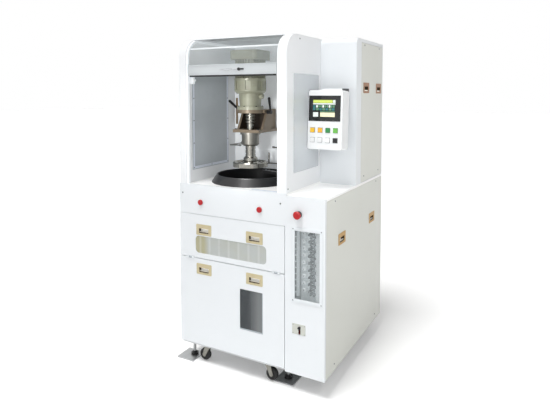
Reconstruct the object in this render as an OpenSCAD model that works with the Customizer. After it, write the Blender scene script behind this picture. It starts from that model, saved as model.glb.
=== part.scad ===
// Floor-standing machine that polishes flat metal samples under a lowered spindle head.
// X runs to the right, Y runs from the front to the back and Z runs up from the floor.

/* [Cabinet] */
// Width of the cabinet across its front
cab_w = 881; // [875:1:940]
// Depth of the cabinet from front to back
cab_d = 905; // [880:1:980]
// Height of the right-hand worktop above the floor
deck_h = 1000; // [980:1:1040]
// Height of the polishing deck above the right-hand worktop
deck_step = 8; // [4:1:16]
// Clear height under the cabinet
under_h = 100; // [96:1:112]
// Thickness of the sheet metal
skin = 2; // [1.5:0.5:3]
// Depth of the folded edge of each outer panel
tray_d = 14; // [12:1:18]
// Gap between neighbouring panels
seam = 3; // [2:0.5:4]
// Side of the square frame tubes
tube = 40; // [34:1:44]
// Distance from the left face to the upright seam of the front
seam_x = 661; // [652:1:667]

/* [Front panels] */
// Height of the front fascia below the right-hand worktop
fascia_h = 155; // [140:1:165]
// Height of the tilting upper panel
upper_h = 245; // [236:1:262]
// Gap between the lower door and the upper panel, where the hinge leaves pass
hinge_gap = 4; // [3.5:0.5:6]
// Height of the bare frame rail under the lower door
door_sill = 12; // [8:1:20]
// Width of the slot window in the upper panel
slot_w = 449; // [300:1:460]
// Height of the slot window
slot_h = 95; // [60:1:100]
// Corner radius of the slot window
slot_r = 22; // [10:1:28]
// Width of the window in the lower door
peep_w = 140; // [100:1:160]
// Height of the window in the lower door
peep_h = 218; // [150:1:230]
// Diameter of each hinge barrel
hinge_d = 10; // [8:0.5:11]
// Diameter of the hinge pins
hinge_pin_d = 4; // [3:0.5:5]

/* [Flush pulls] */
// Width of a pull plate
pull_w = 100; // [90:1:110]
// Height of a pull plate
pull_h = 60; // [52:1:64]
// Width of the finger slot
pull_slot_w = 64; // [50:1:70]
// Height of the finger slot
pull_slot_h = 26; // [20:1:30]
// Depth of the finger cup behind the panel
pull_depth = 20; // [16:1:24]
// Thickness of the pull plate
pull_t = 1.5; // [1:0.5:2]

/* [Bowl and platen] */
// Distance of the platen axis from the left face
bowl_x = 315; // [305:1:325]
// Distance of the platen axis from the front
bowl_y = 264; // [262:1:275]
// Outer radius of the splash ring at the deck
ring_r = 233; // [215:1:238]
// Outer radius of the splash ring at its rim
rim_r = 203; // [202:1:212]
// Height of the splash ring above the deck
ring_h = 43; // [30:1:60]
// Radius of the polishing platen
platen_r = 180; // [165:1:188]
// Depth of the polishing pad below the polishing deck
pad_drop = 36; // [32:1:46]
// Thickness of the polishing pad
pad_t = 4; // [2:0.5:6]
// Thickness of the platen disc
platen_t = 20; // [14:1:24]

/* [Polishing head] */
// Distance of the spindle axis from the left face
head_x = 278; // [274:1:282]
// Distance of the spindle axis from the front
head_y = 303; // [295:1:308]
// Radius of the sample carrier
carrier_r = 103; // [85:1:108]
// Gap that is left between the lowered carrier and the pad
head_gap = 1; // [0.5:0.5:3]
// Travel of the polishing head
head_stroke = 110; // [90:1:118]
// Diameter of the spindle shaft in its bearing housing
shaft_d = 40; // [30:1:44]
// Diameter of the bearing housing
housing_d = 103; // [90:1:110]
// Width and depth of the motor's top block
motor_w = 180; // [160:1:190]
// Number of cooling fins round the motor
fin_count = 32; // [20:1:40]

/* [Enclosure] */
// Thickness of the enclosure's side walls
wall_t = 44; // [36:1:50]
// Height of the enclosure above the polishing deck
encl_h = 804; // [790:1:820]
// Radius of the front top corner of the walls
corner_r = 110; // [95:1:120]
// Depth of the enclosure from the front to its back wall
chamber_d = 500; // [498:1:508]
// Width of the windows in the side walls, front to back
win_w = 314; // [240:1:330]
// Height of the windows in the side walls
win_h = 511; // [400:1:530]
// Thickness of the clear sheets
pane_t = 3; // [2:0.5:4]

/* [Sliding door] */
// Height of the door bar
bar_h = 56; // [46:1:62]
// Depth of the door bar
bar_d = 25; // [22:1:28]
// Height of the raised door's bar above the polishing deck
bar_lift = 598; // [540:1:610]
// Height of the rubber seal under the bar
seal_h = 8; // [5:1:12]
// Width of the groove in the door tracks
groove_w = 6; // [5:0.5:8]

/* [Tower] */
// Distance of the tower's front from the front of the cabinet
tower_y = 423; // [405:1:440]
// Radius of the tower's front top edge
tower_r = 30; // [20:1:40]

/* [Control box] */
// Width of the control box
hmi_w = 195; // [190:1:200]
// Height of the control box
hmi_h = 314; // [300:1:330]
// Depth of the control box
hmi_d = 92; // [80:1:100]
// Lean of the control box's face
hmi_tilt = 3.6; // [2:0.1:6]
// Side of the square push buttons
key_w = 24; // [18:1:26]
// Travel of the square push buttons
key_travel = 3; // [2:0.5:4]

/* [Valve bay] */
// Width of the valve window
valve_w = 135; // [110:1:140]
// Height of the valve window
valve_h = 344; // [300:1:350]
// Number of valves behind the window
valve_count = 9; // [6:1:9]

/* [Buttons] */
// Diameter of the start buttons
start_d = 30; // [24:1:34]
// Diameter of the emergency stop head
estop_d = 40; // [34:1:44]
// Distance of the emergency stop's face in front of the fascia
estop_out = 30; // [26:1:34]
// Travel of the emergency stop head
estop_travel = 5; // [3:0.5:6]

/* [Feet and casters] */
// Side of the square floor plates
plate_w = 110; // [100:1:120]
// Thickness of the floor plates
plate_t = 6; // [4:1:6]
// Diameter of the levelling feet
foot_d = 42; // [36:1:50]
// Radius of the caster wheels
wheel_r = 33; // [28:1:33]
// Width of the caster wheels
wheel_w = 24; // [18:1:26]
// Distance of a wheel's axle from its swivel axis
trail = 20; // [14:1:24]

/* [Hidden] */
$fn = 64;

// Running clearance, overrun of cuts and the deck's folded side edge
fit = 0.3;
over = 1;
deck_fold = 12;

// Frame
fr_lo = [tray_d, tray_d, under_h];
fr_hi = [cab_w - tray_d, cab_d - tray_d, deck_h - skin];
band_z = deck_h - fascia_h;
hinge_z = band_z - upper_h;
post_x = seam_x - tube / 2;
back_y = fr_hi.y - tube;
mid_y = 505;
bridge_t = 10;
bridge_half = 150;
bridge_z = band_z + tube / 2;

// Front panels
col_x = seam_x + seam / 2;
door_x = seam_x - seam / 2;
band_lo = band_z + seam / 2;
band_hi = band_z - seam / 2;
upper_lo = hinge_z + hinge_gap / 2;
lower_hi = hinge_z - hinge_gap / 2;
lower_lo = under_h + door_sill;
left_deck = deck_h + deck_step;
pad_z = left_deck - pad_drop;
encl_over = 8;
encl_w = seam_x + encl_over;
slot_mid = 330.5;
slot_drop = 167;
slot_c = [slot_mid, band_z - slot_drop];
peep_mid = 464;
peep_drop = 231;
peep_c = [peep_mid, hinge_z - peep_drop];
pull_rise = 84;
pull_drop = 58;
pull_xs = [162, 484];
start_rise = 68;
start_z = band_z + start_rise;
start_xs = [143, 516];
estop_in = 77.5;
estop_x = col_x + estop_in;

// Hinge of the upper panel
hinge_xs = [72, 613];
hinge_y = -hinge_d / 10;
knuckle_w = 20;
leaf_w = 12;
leaf_t = hinge_gap / 2;
notch = hinge_d / 2 + over;

// Flush pulls
cup_t = 1.5;
pull_r = 5;
pull_slot_drop = 5;
tongue_h = 6;
tongue_d = 8;
tongue_in = 2;
side_pull_in = [221, 193];
side_pull_drops = [85, 81];
side_pulls_yz = [[side_pull_in[0], band_z - side_pull_drops[0]],
    [cab_d - side_pull_in[1], band_z - side_pull_drops[1]]];
tower_pull_in = [167, 83];
tower_pull_rises = [540, 538];
tower_pulls_yz = [[tower_y + tower_pull_in[0], deck_h + tower_pull_rises[0]],
    [cab_d - tower_pull_in[1], deck_h + tower_pull_rises[1]]];

// Splash ring, basin and platen
ring_t = 3;
ring_lip = 6;
skirt_r = rim_r - ring_t;
skirt_drop = 22;
deck_under = deck_h - skin;
hole_r = skirt_r + over;
basin_t = 2.5;
basin_spread = 5;
basin_r = min(skirt_r + basin_spread, bowl_y - tray_d - tube - basin_t - over);
basin_drop = 110;
basin_z = deck_h - basin_drop;
collar_r = 34;
collar_h = 28;
collar_lap = 10;
spout_d = 40;
spout_at = [120, 120];
tank_gap = 55;
sink_gap = 12;
platen_shaft_d = 40;
platen_hub_r = 46;
hub_wall = 6;
pad_inset = 2;
drive_gap = 4;
drive_top = basin_z - basin_t - drive_gap;
drive_bore_z = bridge_z - bridge_t;
drive_flange_r = 85;
drive_body_r = 70;
drive_motor_r = 62;
drive_body_h = 140;
drive_motor_h = 190;
tank_top = drive_bore_z - drive_body_h - drive_motor_h - tank_gap;
drive_boss_r = 30;

// Polishing head
carrier_bot = pad_z + head_gap + head_stroke;
wear_ring_h = 7;
carrier_h = 22;
carrier_hub_r = 41;
carrier_hub_h = 29;
chuck_r = 29.5;
chuck_h = 62;
chuck_z = carrier_bot + wear_ring_h + carrier_h + carrier_hub_h;
chuck_gap = 2;
housing_z = chuck_z + chuck_h + chuck_gap;
housing_h = 78;
housing_flange_r = 60;
housing_flange_h = 12;
base_t = 17;
base_z = housing_z + housing_h;
bracket_sides = [88, 87];
bracket_x = [head_x - bracket_sides[0], head_x + bracket_sides[1]];
bracket_nose = 53;
bracket_front = head_y - bracket_nose;
bracket_gap = 10;
bracket_back = chamber_d - bracket_gap;
gusset_t = 15;
gusset_h = 95;
gusset_steps = [-17, 44, 98];
gusset_ys = [for (step = gusset_steps) head_y + step];
top_z = base_z + base_t + gusset_h;
top_t = 20;
top_back = 30;
neck_half = 63;
neck_front = gusset_ys[2];
wall_open = 10;
carriage_gap = 22;
carriage_y = chamber_d + carriage_gap;
carriage_t = 16;
cover_t = 3;
cover_y = chamber_d - cover_t - over;
flange_r = 76.5;
flange_h = 18;
taper_z = top_z + top_t + flange_h;
taper_h = 74;
taper_rs = [62, 67];
gear_r = 92;
gear_h = 88;
gear_z = taper_z + taper_h;
fin_z = gear_z + gear_h;
fin_h = 106;
fin_core_r = 74;
fin_r = 88;
fin_t = 4;
cap_z = fin_z + fin_h;
cap_h = 53;
coupling_r = 21;
coupling_rise = 12;
coupling_z = base_z + base_t + coupling_rise;
coupling_h = 76;
drive_pin_d = 24;
lever_back = 47;
lever_rise = 5;
lever_y = head_y + lever_back;
lever_z = top_z + lever_rise;
lever_hub_d = 22;
lever_stud_d = 8;
lever_len = 118;
lever_lean = 14;
lever_hubs = [12, 27];
lever_turns = [52, 39];

// Lift guide behind the back wall
rail_w = 20;
rail_d = 15;
rail_half = 63;
rail_gap = 12;
rail_xs = [head_x - rail_half, head_x + rail_half];
rail_y = carriage_y + carriage_t + rail_gap;
column_y = rail_y + rail_d;
column_t = 15;
column_half = 88;
column_h = 772;
block_w = 34;
rod_d = 16;
barrel_d = 50;
barrel_rise = 85;
barrel_z = top_z + barrel_rise;
barrel_h = 290;
barrel_spare = 20;
rod_spare = 10;

// Enclosure
wall_y = 5;
roof_z = left_deck + encl_h;
roof_t = 5;
roof_front = 90;
back_fold = 15;
wall_back = chamber_d + back_fold;
inner_x = [wall_t, encl_w - wall_t];
win_front = 81;
win_rise = 92;
win_lo = [win_front, left_deck + win_rise];
win_r = 8;
pane_lap = 22;
back_t = 3;

// Door tracks and door
track_t = 12;
track_w = 14;
track_in = roof_t;
groove_in = track_in + (track_w - groove_w) / 2;
groove_d = 8;
bend_z = roof_z - corner_r;
film_t = 1;
film_in = track_in + track_w / 2;
bar_gap = 2;
bar_x = [inner_x[0] + track_t + bar_gap, inner_x[1] - track_t - bar_gap];
bar_y = 5;
bar_z = left_deck + bar_lift;
shoe_d = groove_w - 2 * fit;
film_x = [inner_x[0] + track_t - groove_d + fit, inner_x[1] - track_t + groove_d - fit];
grip_x = 322;
grip_w = 121;
grip_h = 14;
grip_t = 6;
latch_x = 392;
latch_d = 16;
latch_len = 28;
tie_y = 42;
tie_w = 8;
tie_rise = 47;
tie_z = bend_z + tie_rise;

// Tower
tower_panel_in = [84, 10];
tower_panel_gaps = [4, 20];
tower_side = [tower_y + tower_panel_in[0], cab_d - tower_panel_in[1]];
tower_panel_z = [deck_h + tower_panel_gaps[0], roof_z - tower_panel_gaps[1]];

// Control box
hmi_gap = 3;
hmi_rise = 212;
hmi_x = encl_w + hmi_gap;
hmi_y = 240;
hmi_z = deck_h + hmi_rise;
hmi_r = 12;
screen_lo = [4, 150];
screen_size = [180, 135];
screen_out = 2;
glass_lo = [22, 21];
glass_size = [131, 92];
key_xs = [28, 72, 116, 159];
key_zs = [102, 50];
key_out = 4;
key_deep = 8;
socket_room = 2;
socket_deep = key_deep + key_travel + socket_room;
arm_x = [48, 166];
arm_h = 34;
arm_drop = 26;
arm_z = hmi_h - arm_drop;
arm_lap = 10;

// Valve bay and breaker
valve_in = 55.5;
valve_drop = 512;
valve_lo = [col_x + valve_in, deck_h - valve_drop];
valve_frame = 17;
frame_t = 3;
valve_back_y = 150;
valve_ends = 10;
valve_pitch = (valve_h - 2 * valve_ends) / valve_count;
valve_body = [62, 70];
valve_share = 0.72;
needle_d = 14;
needle_len = 34;
supply_d = 22;
breaker_in = 42.5;
breaker_below = 179;
breaker_lo = [col_x + breaker_in, valve_lo.y - breaker_below];
breaker_size = [72, 52];
breaker_slot = [12, 40];
toggle_d = 12;
toggle_axis_y = 10;
toggle_tilt = 38;

// Feet and casters
foot_in = [40, 31];
foot_front = [[foot_in[0], 70], [seam_x - foot_in[1], 104]];
plate_shift = [-15, -15];
foot_h = 10;
stem_d = 16;
nut_d = 30;
nut_h = 12;
foot_out = plate_w / 2 - foot_front[0].x - plate_shift.x;
caster_y = 47;
wheel_in = [135, 96];
caster_xs = [wheel_in[0] + trail, seam_x - wheel_in[1] - trail];
caster_pad = 4;
caster_pad_w = 60;
swivel_d = 10;
wheel_gap = 1.5;
wheel_z = plate_t + wheel_gap + wheel_r;
wheel_bore = 8;
leg_t = 3;
leg_w = 22;
crown_d = 46;
crown_h = 12;

// The origin is on the floor, under the middle of the whole machine
origin = [(cab_w + pull_t - foot_out) / 2, (cab_d - estop_out) / 2];

// Shapes that repeat

// Moves a piece from the cabinet's corner to the machine's own origin
module placed() {
    translate([-origin.x, -origin.y, 0]) children();
}

// Box between two opposite corners
module block(lo, hi) {
    translate(lo) cube(hi - lo);
}

// Rectangle between two opposite corners
module rect(lo, hi) {
    translate(lo) square(hi - lo);
}

// Rectangle with round corners between two opposite corners
module round_rect(lo, hi, r) {
    rect(lo + [r, 0], hi - [r, 0]);
    rect(lo + [0, r], hi - [0, r]);
    for (x = [lo.x + r, hi.x - r], y = [lo.y + r, hi.y - r]) translate([x, y]) circle(r);
}

// Outline drawn in X and Z, made thick from y towards the back
module front_slab(y, t) {
    translate([0, y + t, 0]) rotate([90, 0, 0]) linear_extrude(t) children();
}

// Outline drawn in Y and Z, made thick from x towards the right
module side_slab(x, t) {
    translate([x, 0, 0]) rotate([90, 0, 90]) linear_extrude(t) children();
}

// Outline drawn in X and Y, made thick from z upwards
module top_slab(z, t) {
    translate([0, 0, z]) linear_extrude(t) children();
}

// Round bar along Y, centred on x and z
module y_bar(x, z, y0, y1, d) {
    translate([x, y1, z]) rotate([90, 0, 0]) cylinder(d = d, h = y1 - y0);
}

// Round bar along X, centred on y and z
module x_bar(x0, x1, y, z, d) {
    translate([x0, y, z]) rotate([0, 90, 0]) cylinder(d = d, h = x1 - x0);
}

// Flat outline with a folded edge behind it: the rim of a sheet-metal tray
module folded_rim(lo, hi) {
    difference() {
        rect(lo, hi);
        rect(lo + [skin, skin], hi - [skin, skin]);
    }
}

// Front panel folded from sheet, with its face at Y = 0
module front_tray(lo, hi) {
    front_slab(0, skin) rect(lo, hi);
    front_slab(0, tray_d) folded_rim(lo, hi);
}

// Side panel folded from sheet, whose face is at x and whose rim reaches in by dir
module side_tray(x, dir, lo, hi) {
    side_slab(min(x, x + dir * skin), skin) rect(lo, hi);
    side_slab(min(x, x + dir * tray_d), tray_d) folded_rim(lo, hi);
}

// Rear panel folded from sheet, with its face at the back of the cabinet
module rear_tray(lo, hi) {
    front_slab(cab_d - skin, skin) rect(lo, hi);
    front_slab(cab_d - tray_d, tray_d) folded_rim(lo, hi);
}

// Piece turned about an axis that points to the front, drawn as radius and height
module turned_front(x, z) {
    translate([x, 0, z]) rotate([90, 0, 0]) rotate_extrude() children();
}

// Pocket of a flush pull, grown by a margin and running from y0 to y1
module pull_pocket(grow, y0, y1) {
    low = -pull_slot_drop - pull_slot_h / 2 - grow;
    block([-pull_slot_w / 2 - grow, y0, low],
        [pull_slot_w / 2 + grow, y1, low + pull_slot_h + 2 * grow]);
}

// Flush pull: plate, finger cup and turned-in lip
module pull() {
    low = -pull_slot_drop - pull_slot_h / 2;
    difference() {
        union() {
            front_slab(-pull_t, pull_t)
                round_rect([-pull_w, -pull_h] / 2, [pull_w, pull_h] / 2, pull_r);
            pull_pocket(cup_t, 0, pull_depth);
        }
        pull_pocket(0, -pull_t - over, pull_depth - cup_t);
    }
    block([-pull_slot_w / 2, tongue_in, low],
        [pull_slot_w / 2, tongue_in + tongue_d, low + tongue_h]);
}

// Hole in a panel for the cup of a pull
module pull_hole() {
    pull_pocket(cup_t + fit, -over, pull_depth);
}

// Places a pull or its hole on the right-hand side
module on_right(yz) {
    translate([cab_w, yz[0], yz[1]]) rotate([0, 0, 90]) children();
}

// Places a pull or its hole on the front
module on_front(x, z) {
    translate([x, 0, z]) children();
}

// Where a panel sits in an opening: a web round it and a seat behind its rim
module jamb_web(lo, hi) {
    edge = [seam / 2, seam / 2];
    difference() {
        rect(lo - edge - [skin, skin], hi + edge + [skin, skin]);
        rect(lo - edge, hi + edge);
    }
}

module jamb_seat(lo, hi) {
    edge = [seam / 2 + skin, seam / 2 + skin];
    difference() {
        rect(lo - edge, hi + edge);
        rect(lo + [tray_d, tray_d], hi - [tray_d, tray_d]);
    }
}

// Outline of an enclosure wall, drawn in Y and Z, stepped in at its front and top
module wall_outline(inset, back) {
    r = corner_r - inset;
    lo = [wall_y + inset, left_deck];
    hi = [back, roof_z - inset];
    rect(lo, [hi.x, hi.y - r]);
    rect([lo.x + r, lo.y], hi);
    translate([lo.x + r, hi.y - r]) circle(r);
}

// Strip that follows the front and the top of a wall
module wall_strip(inset, width, back) {
    difference() {
        wall_outline(inset, back);
        wall_outline(inset + width, back);
    }
}

// Cabinet frame

foot_pad_w = 70;
foot_pad_t = 6;
sill_t = 4;
vent_w = 150;
vent_h = 6;
vent_count = 9;
vent_step = 18;

function foot_x(side) = foot_front[side].x;
function foot_y(side, row) = row == 0 ? foot_front[side].y : cab_d - foot_front[side].y;
function caster_at(n) = [caster_xs[n % 2], n < 2 ? caster_y : cab_d - caster_y];

// Rail along X, and rail along Y, each from its lower left corner
module rail_x(y, z, x1) {
    block([fr_lo.x, y, z], [x1, y + tube, z + tube]);
}

module rail_y(x, z) {
    block([x, fr_lo.y, z], [x + tube, fr_hi.y, z + tube]);
}

module hinge_frame_half(x) {
    reach = knuckle_w / 2 + leaf_w;
    for (x0 = [x - reach, x + knuckle_w / 2 + fit]) {
        x1 = x0 + leaf_w - fit;
        x_bar(x0, x1, hinge_y, hinge_z, hinge_d);
        block([x0, hinge_y, hinge_z - leaf_t / 2], [x1, fr_lo.y, hinge_z + leaf_t / 2]);
    }
    x_bar(x - reach, x + reach, hinge_y, hinge_z, hinge_pin_d);
}

module frame_tubes() {
    xs = [fr_lo.x, post_x, fr_hi.x - tube];
    for (x = xs, y = [fr_lo.y, back_y])
        block([x, y, fr_lo.z], [x + tube, y + tube, fr_hi.z]);
    for (z = [fr_lo.z, fr_hi.z - tube]) {
        for (y = [fr_lo.y, back_y]) rail_x(y, z, fr_hi.x);
        for (x = xs) rail_y(x, z);
    }
    for (x = [fr_lo.x, post_x]) rail_y(x, band_z - tube / 2);
    for (y = [fr_lo.y, mid_y]) rail_x(y, band_z - tube / 2, post_x + tube);
    rail_x(fr_lo.y, hinge_z - tube / 2, post_x + tube);
}

module main_frame() {
    color("gainsboro") placed() {
        frame_tubes();
        block([fr_lo.x, fr_lo.y, fr_lo.z + tube], [fr_hi.x, fr_hi.y, fr_lo.z + tube + skin]);
        difference() {
            block([bowl_x - bridge_half, fr_lo.y, bridge_z],
                [bowl_x + bridge_half, mid_y + tube, bridge_z + bridge_t]);
            translate([bowl_x, bowl_y, bridge_z - over])
                cylinder(r = drive_boss_r + fit, h = bridge_t + 2 * over);
            translate([bowl_x + spout_at.x, bowl_y + spout_at.y, bridge_z - over])
                cylinder(d = spout_d + 2 * over, h = bridge_t + 2 * over);
        }
        block([fr_lo.x, 0, lower_lo - fit - sill_t], [post_x, fr_lo.y, lower_lo - fit]);
        for (x = hinge_xs) hinge_frame_half(x);
        for (side = [0, 1], row = [0, 1])
            translate([foot_x(side) - foot_pad_w / 2, foot_y(side, row) - foot_pad_w / 2,
                under_h - foot_pad_t]) cube([foot_pad_w, foot_pad_w, foot_pad_t]);
        for (n = [0:3]) translate([caster_at(n).x, caster_at(n).y, under_h - caster_pad]) {
            translate([-caster_pad_w / 2, -caster_pad_w / 2, 0])
                cube([caster_pad_w, caster_pad_w, caster_pad]);
            translate([0, 0, -crown_h]) cylinder(d = swivel_d, h = crown_h + caster_pad);
        }
    }
}

// Outer skin of the cabinet

module fascia_outline(inset) {
    i = inset;
    polygon([[i, band_lo + i], [col_x + i, band_lo + i], [col_x + i, under_h + i],
        [cab_w - i, under_h + i], [cab_w - i, deck_h - i], [encl_w - i, deck_h - i],
        [encl_w - i, left_deck - i], [i, left_deck - i]]);
}

breaker_axis = [40, 21];
breaker_x = breaker_lo.x + breaker_axis.x;
breaker_z = breaker_lo.y + breaker_axis.y;
breaker_deep = 38;
breaker_half = [22, 30];

module front_fascia() {
    color("white") placed() difference() {
        union() {
            front_slab(0, skin) fascia_outline(0);
            front_slab(0, tray_d) difference() {
                fascia_outline(0);
                fascia_outline(skin);
            }
        }
        for (x = start_xs) y_bar(x, start_z, -over, tray_d, start_d + 2 * fit);
        y_bar(estop_x, start_z, -over, skin + over, estop_stem_d + 2 * fit);
        front_slab(-over, skin + 2 * over) rect(valve_lo, valve_lo + [valve_w, valve_h]);
        front_slab(-over, skin + 2 * over)
            rect([breaker_x, breaker_z] - breaker_slot / 2, [breaker_x, breaker_z] + breaker_slot / 2);
    }
}

start_out = 9;
start_deep = 12;
start_edge = 2;
bezel_w = 2;
bezel_t = 2;
estop_stem_d = 20;
estop_head_t = 14;
estop_deep = 18;
estop_edge = 4;
collar_w = 7;
collar_out = estop_out - estop_head_t - estop_travel - over;

module fascia_trim() {
    color("white") placed() {
        front_slab(-frame_t, frame_t) difference() {
            rect(valve_lo - [valve_frame, valve_frame],
                valve_lo + [valve_w + valve_frame, valve_h + valve_frame]);
            rect(valve_lo, valve_lo + [valve_w, valve_h]);
        }
        front_slab(-skin, skin) difference() {
            rect(breaker_lo, breaker_lo + breaker_size);
            rect([breaker_x, breaker_z] - breaker_slot / 2, [breaker_x, breaker_z] + breaker_slot / 2);
        }
        for (x = start_xs) turned_front(x, start_z)
            translate([start_d / 2 + fit, 0]) square([bezel_w, bezel_t]);
    }
    color("dimgray") placed() {
        turned_front(estop_x, start_z)
            translate([estop_stem_d / 2 + fit, 0]) square([collar_w, collar_out]);
        difference() {
            block([breaker_x - breaker_half.x, skin, breaker_z - breaker_half.y],
                [breaker_x + breaker_half.x, breaker_deep, breaker_z + breaker_half.y]);
            block([breaker_x - breaker_slot.x / 2, 0, breaker_z - breaker_slot.y / 2],
                [breaker_x + breaker_slot.x / 2, breaker_deep - skin, breaker_z + breaker_slot.y / 2]);
        }
        x_bar(breaker_x - breaker_half.x, breaker_x + breaker_half.x,
            toggle_axis_y, breaker_z, toggle_pin_d);
    }
}

toggle_pin_d = 3;
toggle_barrel_d = 9;
toggle_neck_d = 6;
toggle_reach = 22;

module breaker_toggle() {
    color("black") placed() translate([breaker_x, toggle_axis_y, breaker_z])
        rotate([-toggle_tilt, 0, 0]) difference() {
            union() {
                x_bar(-toggle_w / 2, toggle_w / 2, 0, 0, toggle_barrel_d);
                y_bar(0, 0, -toggle_reach, 0, toggle_neck_d);
                y_bar(0, 0, -toggle_reach - toggle_knob, -toggle_reach, toggle_d);
            }
            x_bar(-toggle_w, toggle_w, 0, 0, toggle_pin_d + 2 * fit);
        }
}

toggle_w = 9;
toggle_knob = 6;
cover_lo = [tray_d + seam / 2, under_h];
cover_hi = [cab_d - tray_d - seam / 2, deck_h - deck_fold - seam / 2];
rear_lo = [0, under_h];
rear_hi = [cab_w, cover_hi.y];
tower_lo = [tower_side[0], tower_panel_z[0]];
tower_hi = [tower_side[1], tower_panel_z[1]];
tower_rear_lo = [tube, left_deck + tube];
tower_rear_hi = [cab_w - tube, roof_z - tube];

module outer_covers() {
    color("whitesmoke") placed() {
        difference() {
            side_tray(cab_w, -1, cover_lo, cover_hi);
            for (yz = side_pulls_yz) on_right(yz) pull_hole();
        }
        side_tray(0, 1, cover_lo, cover_hi);
        difference() {
            side_tray(cab_w, -1, tower_lo, tower_hi);
            for (yz = tower_pulls_yz) on_right(yz) pull_hole();
        }
        difference() {
            rear_tray(rear_lo, rear_hi);
            for (x = [0.25, 0.75] * cab_w, n = [0:vent_count - 1])
                translate([x, 0, under_h + tube + (n + 2) * vent_step])
                    front_slab(cab_d - skin - over, skin + 2 * over)
                        round_rect([-vent_w, -vent_h] / 2, [vent_w, vent_h] / 2, vent_h / 2 - over);
        }
        rear_tray(tower_rear_lo, tower_rear_hi);
    }
}

module side_pulls() {
    color("burlywood") placed() for (yz = concat(side_pulls_yz, tower_pulls_yz)) on_right(yz) pull();
}

// Front door and panel

slot_lo = slot_c - [slot_w, slot_h] / 2;
peep_lo = peep_c - [peep_w, peep_h] / 2;
upper_pull_z = band_z - pull_rise;
lower_pull_z = hinge_z - pull_drop;
pane_edge = 14;
hem_d = 6;
peep_r = 4;

module upper_panel() {
    color("white") placed() difference() {
        union() {
            difference() {
                front_tray([0, upper_lo], [door_x, band_hi]);
                for (x = hinge_xs) block([x - knuckle_w / 2 - leaf_w - over, -over, upper_lo - over],
                    [x + knuckle_w / 2 + leaf_w + over, tray_d + over, hinge_z + notch]);
            }
            for (x = hinge_xs) {
                x_bar(x - knuckle_w / 2, x + knuckle_w / 2, hinge_y, hinge_z, hinge_d);
                block([x - knuckle_w / 2, 0, hinge_z],
                    [x + knuckle_w / 2, tray_d, hinge_z + notch + skin]);
            }
        }
        for (x = hinge_xs)
            x_bar(x - knuckle_w, x + knuckle_w, hinge_y, hinge_z, hinge_pin_d + 2 * fit);
        front_slab(-over, skin + 2 * over) round_rect(slot_lo, slot_lo + [slot_w, slot_h], slot_r);
        for (x = pull_xs) on_front(x, upper_pull_z) pull_hole();
    }
}

module upper_panel_window() {
    edge = [pane_edge, pane_edge];
    color("lightgray", 0.5) placed() difference() {
        front_slab(skin, pane_t) rect(slot_lo - edge, slot_lo + [slot_w, slot_h] + edge);
        for (x = pull_xs) on_front(x, upper_pull_z) pull_hole();
    }
}

module upper_panel_pulls() {
    color("burlywood") placed() for (x = pull_xs) on_front(x, upper_pull_z) pull();
}

module lower_door() {
    color("white") placed() difference() {
        union() {
            front_tray([0, lower_lo + hem_d / 2], [door_x, lower_hi]);
            x_bar(0, door_x, hem_d / 2, lower_lo + hem_d / 2, hem_d);
        }
        for (x = hinge_xs) block([x - knuckle_w / 2 - leaf_w - over, -over, hinge_z - notch],
            [x + knuckle_w / 2 + leaf_w + over, tray_d + over, lower_hi + over]);
        front_slab(-over, skin + 2 * over) round_rect(peep_lo, peep_lo + [peep_w, peep_h], peep_r);
        for (x = pull_xs) on_front(x, lower_pull_z) pull_hole();
    }
}

module lower_door_window() {
    edge = [pane_edge, pane_edge];
    color("slategray", 0.5) placed()
        front_slab(skin, pane_t) rect(peep_lo - edge, peep_lo + [peep_w, peep_h] + edge);
}

module lower_door_pulls() {
    color("burlywood") placed() for (x = pull_xs) on_front(x, lower_pull_z) pull();
}

// Work deck, splash ring, basin and platen

arm_post_at = [260, -49];
arm_post = [bowl_x, bowl_y] + arm_post_at;
arm_post_d = 26;
arm_pin_d = 12;
arm_boss = [44, 8];
sill_len = 157;
sill_end = inner_x[1] - track_t - over;
sill_y = [16, 34];
sill_strip_t = 2;
bead = [1, 0.5];

module deck_plate() {
    color("white") placed() difference() {
        union() {
            top_slab(deck_under, left_deck - deck_under) rect([0, tray_d], [encl_w, cab_d]);
            top_slab(deck_under, skin) rect([encl_w, tray_d], [cab_w, cab_d]);
            for (x = [0, cab_w - skin])
                block([x, tray_d, deck_h - deck_fold], [x + skin, cab_d, deck_h]);
            block([0, cab_d - skin, deck_h - deck_fold], [cab_w, cab_d, deck_h]);
            translate([arm_post.x, arm_post.y, left_deck]) cylinder(d = arm_boss.x, h = arm_boss.y);
            block([sill_end - sill_len, sill_y[0], left_deck],
                [sill_end, sill_y[1], left_deck + sill_strip_t]);
        }
        translate([bowl_x, bowl_y, deck_under - over])
            cylinder(r = hole_r, h = left_deck - deck_under + 2 * over);
        translate([arm_post.x, arm_post.y, deck_under + skin])
            cylinder(d = arm_pin_d + 2 * fit, h = left_deck + arm_boss.y);
        block([encl_w, tower_y - 2 * bead.x, deck_h - bead.y],
            [cab_w + over, tower_y - bead.x, deck_h + over]);
    }
}

module splash_ring() {
    top = left_deck + ring_h;
    color("black") placed() translate([bowl_x, bowl_y, 0]) rotate_extrude($fn = 128) polygon([
        [ring_r, left_deck], [rim_r + ring_t, top - ring_t], [rim_r, top], [skirt_r - ring_t + over, top],
        [skirt_r - ring_t, top - over], [skirt_r - ring_t, left_deck - skirt_drop],
        [skirt_r, left_deck - skirt_drop], [skirt_r, top - ring_lip],
        [rim_r - over, top - ring_lip], [ring_r - ring_t - over, left_deck]]);
}

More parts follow.
